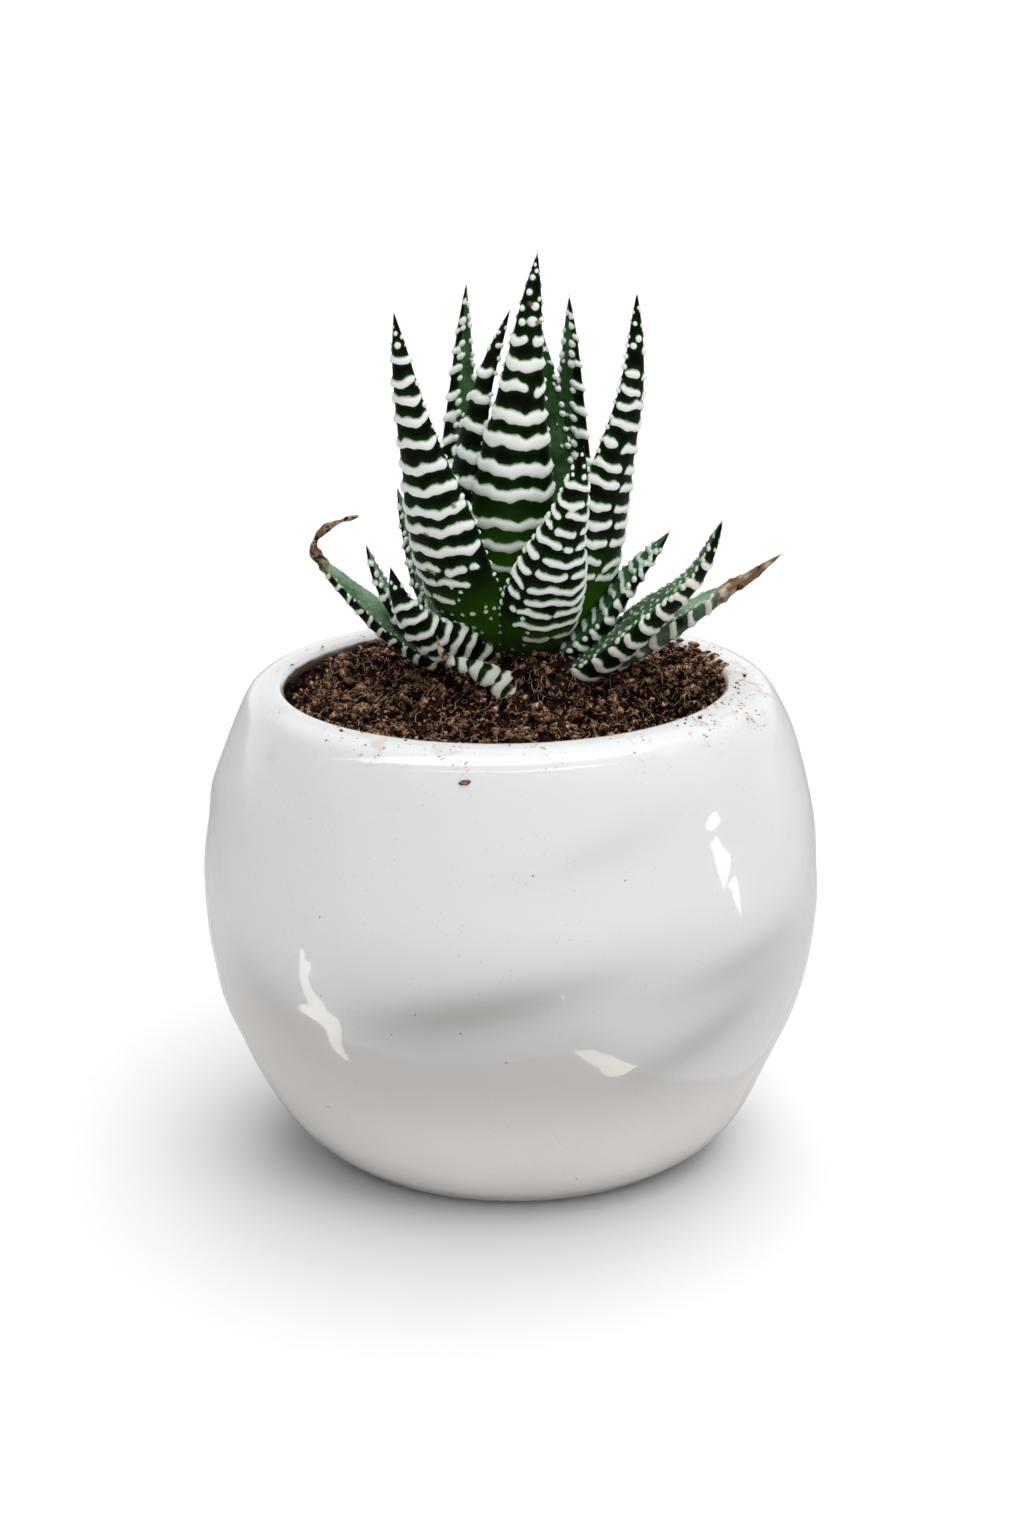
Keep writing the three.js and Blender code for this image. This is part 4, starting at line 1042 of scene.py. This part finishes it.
def rim_crumbs():
    """Grains on the rim, thickest where the soil comes up to it at the right, and one stuck to the wall."""
    rng = np.random.default_rng(9)
    rim = spline([(37.6, 73), (36.2, 73.35), (34.8, 73.5), (33.9, 73.25), (33.3, 72.6)], 60)
    turns, shares = np.array(spilt_at).T
    lumps = []

    def set_down(size, squashed, turn, reach, z, sunk, aside=0):
        """One grain on the rim, at a turn from the front in radians."""
        points, faces = lump(rng, size)
        x, y = reach * np.sin(turn) + aside, -reach * np.cos(turn)
        lumps.append((points * squashed + (x, y, tilt(x, z) + sunk * size), faces))

    for _ in range(rim_crumb_count):
        turn = np.radians(rng.choice(turns, p=shares / shares.sum()) + rng.normal(0, 9))
        reach, z = rim[60 - min(60, int(abs(rng.normal(0, 24))))]
        set_down(0.09 + 0.22 * rng.random() ** 3, (1.5, 1.5, 0.8), turn, reach, z, 0.3)
    for _ in range(right_grain_count):
        turn, reach = np.radians(110 + rng.normal(0, 8)), rng.uniform(31.2, 34.2)
        z = np.interp(reach, (31.2, 33.2, 34.4), (72.0, 72.9, 73.5))
        set_down(0.3 + 0.6 * rng.random() ** 2, (1.4, 1.2, 0.7), turn, reach, z, 0.2, mouth_aside)
    points, faces = lump(rng, 0.62)
    turn, reach, z = np.radians(-8.9), 40.8, 69.6
    lumps.append((points * (1.5, 0.6, 0.8) + (reach * np.sin(turn), -reach * np.cos(turn), z), faces))
    return gather(lumps)


rim_crumb_finish = coir_soil("dried_crumb", (0.11, 0.062, 0.040), (0.30, 0.170, 0.105), (0.44, 0.25, 0.15))
piece("rim_crumbs", *rim_crumbs(), rim_crumb_finish, "potting_soil")


# Coir fibres
# Fine brown hairs of coconut husk, mixed into the soil and held by its crumbs. Their ends stick up
# out of it, with a few longer bits of straw among them.

fibre_count = 2300
straw_count = 6
strand_points = 7


def strand(rng, start, reach, thick, curl):
    """A bent hair with three sides that lies along the soil from start."""
    heading = rng.uniform(0, 2 * np.pi)
    bend = rng.normal(0, curl)
    place, path = np.array(start, float), []
    for k in range(strand_points):
        path.append(place.copy())
        heading += bend + rng.normal(0, 0.25)
        place = place + reach / strand_points * np.array([np.cos(heading), np.sin(heading), 0])
    path = np.array(path)
    path[:, 2] = soil_height(path[:, 0], path[:, 1]) + thick
    path[1:-1, 2] = np.maximum(path[1:-1, 2], (path[:-2, 2] + path[2:, 2]) / 2)
    path[:, 2] += rng.uniform(0.02, 0.25) * np.sin(np.linspace(0.3, np.pi, strand_points)) * reach / 3
    along = unit(np.gradient(path, axis=0))
    level = unit(np.cross(along, (0, 0, 1.0)))
    above = np.cross(level, along)
    slim = thick * np.linspace(1, 0.5, strand_points)[:, None]
    rings = [path + slim * (level * np.cos(a) + above * np.sin(a)) for a in (0.5, 2.6, 4.7)]
    points = np.stack(rings, 1).reshape(-1, 3)
    faces = [tuple(f[::-1]) for f in ring_faces(strand_points, 3)]
    last = 3 * (strand_points - 1)
    return points, faces + [(0, 1, 2), (last + 2, last + 1, last)]


def dry_fibre(name, dark, light):
    """Dull dry fibre, streaked from dark to light."""
    material, start = new_finish(name)
    streak = start.cloud(700, 3)
    start.surface({
        "Base Color": streak.rise(0.3, 0.7).between(dark, light),
        "Roughness": 0.8,
        "Normal": streak.bumped(0.3, 0.1 * MM),
    })
    return material


def fibres():
    """Curly hairs all over the soil."""
    rng = np.random.default_rng(21)
    strands = []
    for _ in range(fibre_count):
        reach, turn = 30.5 * np.sqrt(rng.random()), rng.uniform(0, 2 * np.pi)
        start = (reach * np.cos(turn), reach * np.sin(turn), 0)
        strands.append(strand(rng, start, rng.uniform(0.8, 3.0), rng.uniform(0.035, 0.07), 0.75))
    return gather(strands)


def straws():
    """One long bit of straw at the right, and a few shorter ones."""
    rng = np.random.default_rng(5)
    strands = [strand(rng, (21, 2, 0), 8, 0.16, 0.05)]
    for _ in range(straw_count):
        reach, turn = rng.uniform(10, 27), rng.uniform(0, 2 * np.pi)
        start = (reach * np.cos(turn), reach * np.sin(turn), 0)
        strands.append(strand(rng, start, rng.uniform(3, 6), rng.uniform(0.06, 0.11), 0.06))
    return gather(strands)


fibre_finish = dry_fibre("coir_fibre", (0.12, 0.055, 0.034), (0.90, 0.56, 0.36))
piece("coir_fibres", *fibres(), fibre_finish, "potting_soil")
straw_finish = dry_fibre("straw", (0.20, 0.10, 0.045), (0.46, 0.28, 0.14))
piece("straw_bits", *straws(), straw_finish, "potting_soil")


# Floor, light and camera
# A plain white surface under soft studio light: wide soft lamps above, in front and behind, a dim
# surround, and warm cards of torn outline that show in the glaze as gleams.

floor_reach = 4


def white_floor():
    """Plain white for the camera. Everything else sees a darker card, so the pot is lit less from below."""
    material, start = new_finish("white_floor")
    seen = start.node("ShaderNodeLightPath", {}, {}, "Is Camera Ray")
    mirrored = start.node("ShaderNodeLightPath", {}, {}, "Is Glossy Ray")
    white = start.cloud(3, 2).between((0.78, 0.78, 0.78), (0.81, 0.81, 0.81))
    x, y, _ = start.place().parts()
    away = (x * x + y * y).rise(0.06**2, 0.22**2)
    darker = away.between((0.93, 0.92, 0.91), (0.50, 0.49, 0.48))
    darker = (mirrored * 0.6).between(darker, (0.25, 0.25, 0.25))
    bright_card = start.node("ShaderNodeBsdfDiffuse", {}, {"Color": white})
    dim_card = start.node("ShaderNodeBsdfDiffuse", {}, {"Color": darker})
    both = start.node("ShaderNodeMixShader", {}, {0: seen, 1: dim_card, 2: bright_card})
    start.node("ShaderNodeOutputMaterial", {}, {"Surface": both})
    return material


floor_mesh = bpy.data.meshes.new("floor")
corners = [(floor_reach * x, floor_reach * y, 0) for x, y in ((-1, -1), (1, -1), (1, 1), (-1, 1))]
floor_mesh.from_pydata(corners, [], [(0, 1, 2, 3)])
floor_mesh.materials.append(white_floor())
add_object("floor", floor_mesh)


def surround():
    """White for the camera. For the piece a dim light low down, from the left, the front and behind."""
    world = bpy.data.worlds.new("surround")
    world.use_nodes = True
    world.node_tree.nodes.clear()
    start = Wire(world.node_tree)
    seen = start.node("ShaderNodeLightPath", {}, {}, "Is Camera Ray")
    mirrored = start.node("ShaderNodeLightPath", {}, {}, "Is Glossy Ray")
    right, behind, above = start.node("ShaderNodeTexCoord", {}, {}, "Generated").parts()
    from_left, from_front = 1 - right.rise(-0.9, -0.1), 1 - behind.rise(-0.9, 0.0)
    sides = from_left * 0.62 + from_front * 0.62 + behind.rise(0.0, 0.9) * 1.50
    glow = above.rise(0.35, 0.9) * 0.17 + (1 - above.rise(0.05, 0.5)) * sides
    strength = glow * (1 - mirrored * 0.5) + mirrored * behind.rise(0.2, 1.0) * 0.12
    white = start.node("ShaderNodeBackground", {}, {"Color": (1, 1, 1, 1), "Strength": 1.0})
    dim = start.node("ShaderNodeBackground", {}, {"Color": (0.98, 0.99, 1, 1), "Strength": strength})
    shown = start.node("ShaderNodeMixShader", {}, {0: seen, 1: dim, 2: white})
    start.node("ShaderNodeOutputWorld", {}, {"Surface": shown})
    return world


bpy.context.scene.world = surround()


def wide_lamp(name, way, spread, energy):
    """A far, soft lamp that shines along a way and is not mirrored in the glaze."""
    light = bpy.data.lights.new(name, "SUN")
    light.energy = energy
    light.angle = np.radians(spread)
    light.color = (1, 0.99, 0.98)
    made = add_object(name, light)
    made.rotation_mode = "QUATERNION"
    made.rotation_quaternion = Vector(way).to_track_quat("-Z", "Y")
    made.visible_glossy = False


wide_lamp("lamp_above", (-0.12, -0.1, -0.95), 70, 2.46)
wide_lamp("lamp_in_front", (-0.25, 0.6, -0.65), 60, 1.06)
wide_lamp("lamp_behind", (-0.15, -0.6, -0.7), 50, 0.72)
wide_lamp("lamp_at_right", (-0.7, 0.35, -0.6), 50, 0.16)

# The photo's own camera: how far it looks down, how far away it is, what it looks at, and its lens
photo_pitch = np.radians(17.3)
photo_distance = 520
photo_target = np.array([0.3, 0, 59.1])
photo_wide, photo_high = 1024, 1536
sensor_long, focal_length = 36, 80.2
back = np.array([0, -np.cos(photo_pitch), np.sin(photo_pitch)])
up = np.array([0, np.sin(photo_pitch), np.cos(photo_pitch)])
eye = photo_target + photo_distance * back

camera_data = bpy.data.cameras.new("photo_camera")
camera_data.sensor_width = sensor_long
camera_data.lens = focal_length
camera_data.clip_start = 0.01
camera = add_object("photo_camera", camera_data)
camera.location = eye * MM
camera.rotation_euler = (np.pi / 2 - photo_pitch, 0, 0)
bpy.context.scene.camera = camera
bpy.context.scene.view_settings.view_transform = "Standard"

# How far the cards stand from the glaze that mirrors them: those of the rim as far off as a studio's lamp
card_distance = 60
rim_card_distance = 600

# Outlines of the gleams on the glaze, as they are seen from the camera, in its 1024 by 1536 picture
gleams = {
    "gleam_left": [(303, 952), (308, 956), (309, 965), (314, 968), (323, 981), (328, 991), (330, 1008),
                   (337, 1020), (345, 1036), (351, 1053), (349, 1056), (338, 1048), (321, 1030), (304, 1006),
                   (307, 996), (315, 995), (311, 982), (305, 965)],
    "gleam_low": [(570, 1047), (593, 1045), (598, 1051), (609, 1053), (618, 1060), (634, 1070), (620, 1079),
                  (608, 1080), (597, 1075), (594, 1068), (586, 1066), (578, 1057)],
    "gleam_thread": [(602, 1050), (606, 1051), (617, 1060), (613, 1059)],
    "rim_line": [(351, 758), (383, 756), (450, 757), (503, 758), (557, 756), (597, 753), (637, 749),
                 (653, 748), (650, 751), (597, 759), (557, 762), (517, 765), (450, 765), (410, 763),
                 (362, 762)],
    "rim_strand_1": [(310, 762), (333, 759), (350, 757), (351, 759), (333, 760)],
    "rim_strand_2": [(397, 770), (450, 770), (517, 771), (570, 767), (623, 762), (570, 769), (517, 772),
                     (450, 771)],
    "rim_strand_3": [(664, 755), (678, 748), (677, 750), (667, 755)],
    "gleam_right_1": [(718, 814), (721, 825), (716, 831), (710, 835), (705, 829), (710, 818)],
    "gleam_right_2": [(717, 838), (722, 848), (728, 856), (729, 866), (726, 878), (722, 886), (717, 870),
                      (714, 856), (710, 847)],
    "gleam_right_3": [(732, 874), (737, 883), (738, 896), (735, 909), (732, 894), (730, 885), (725, 882)],
}
outer_wall = spline(pot_outside, 400)


def card_corners(outline, distance):
    """Corners of the card that shows in the glaze as a gleam of this outline, and never below the floor."""
    # The way from the camera through each corner, and where it meets the wall
    spots = np.array(outline, float)
    lens = photo_high * focal_length / sensor_long
    right_of_middle, above_middle = spots[:, 0] - photo_wide / 2, photo_high / 2 - spots[:, 1]
    ray = unit(-back * lens + np.outer(right_of_middle, (1, 0, 0)) + np.outer(above_middle, up))
    path = eye + ray[:, None] * np.arange(380, 560, 0.1)[None, :, None]
    wall = np.interp(path[..., 2], outer_wall[:, 1], outer_wall[:, 0], left=0, right=0)
    met = np.argmax(np.hypot(path[..., 0], path[..., 1]) < wall, axis=1)
    touched = path[np.arange(len(spots)), met]

    # The way on from there, mirrored by the wall, which leans as its outline does
    slope = np.interp(touched[:, 2], outer_wall[:, 1], np.gradient(outer_wall[:, 0], outer_wall[:, 1]))
    facing = unit(np.column_stack([touched[:, :2] / np.hypot(touched[:, 0], touched[:, 1])[:, None], -slope]))
    mirrored = ray - 2 * (ray * facing).sum(1)[:, None] * facing
    floor_off = 0.9 * touched[:, 2] / np.maximum(-mirrored[:, 2], 0.01)
    reach = np.minimum(distance, np.where(mirrored[:, 2] < 0, floor_off, distance))
    return touched + reach[:, None] * mirrored


card_finish, start = new_finish("warm_card")
warm_light = start.node("ShaderNodeEmission", {}, {"Color": (1, 0.93, 0.83, 1), "Strength": 4.6})
start.node("ShaderNodeOutputMaterial", {}, {"Surface": warm_light})
for name, outline in gleams.items():
    corners = card_corners(outline, rim_card_distance if name.startswith("rim") else card_distance)
    card_mesh = bpy.data.meshes.new(name)
    card_mesh.from_pydata((corners * MM).tolist(), [], [tuple(range(len(outline)))])
    card_mesh.materials.append(card_finish)
    card = add_object(name, card_mesh)
    card.visible_camera = card.visible_diffuse = card.visible_shadow = False
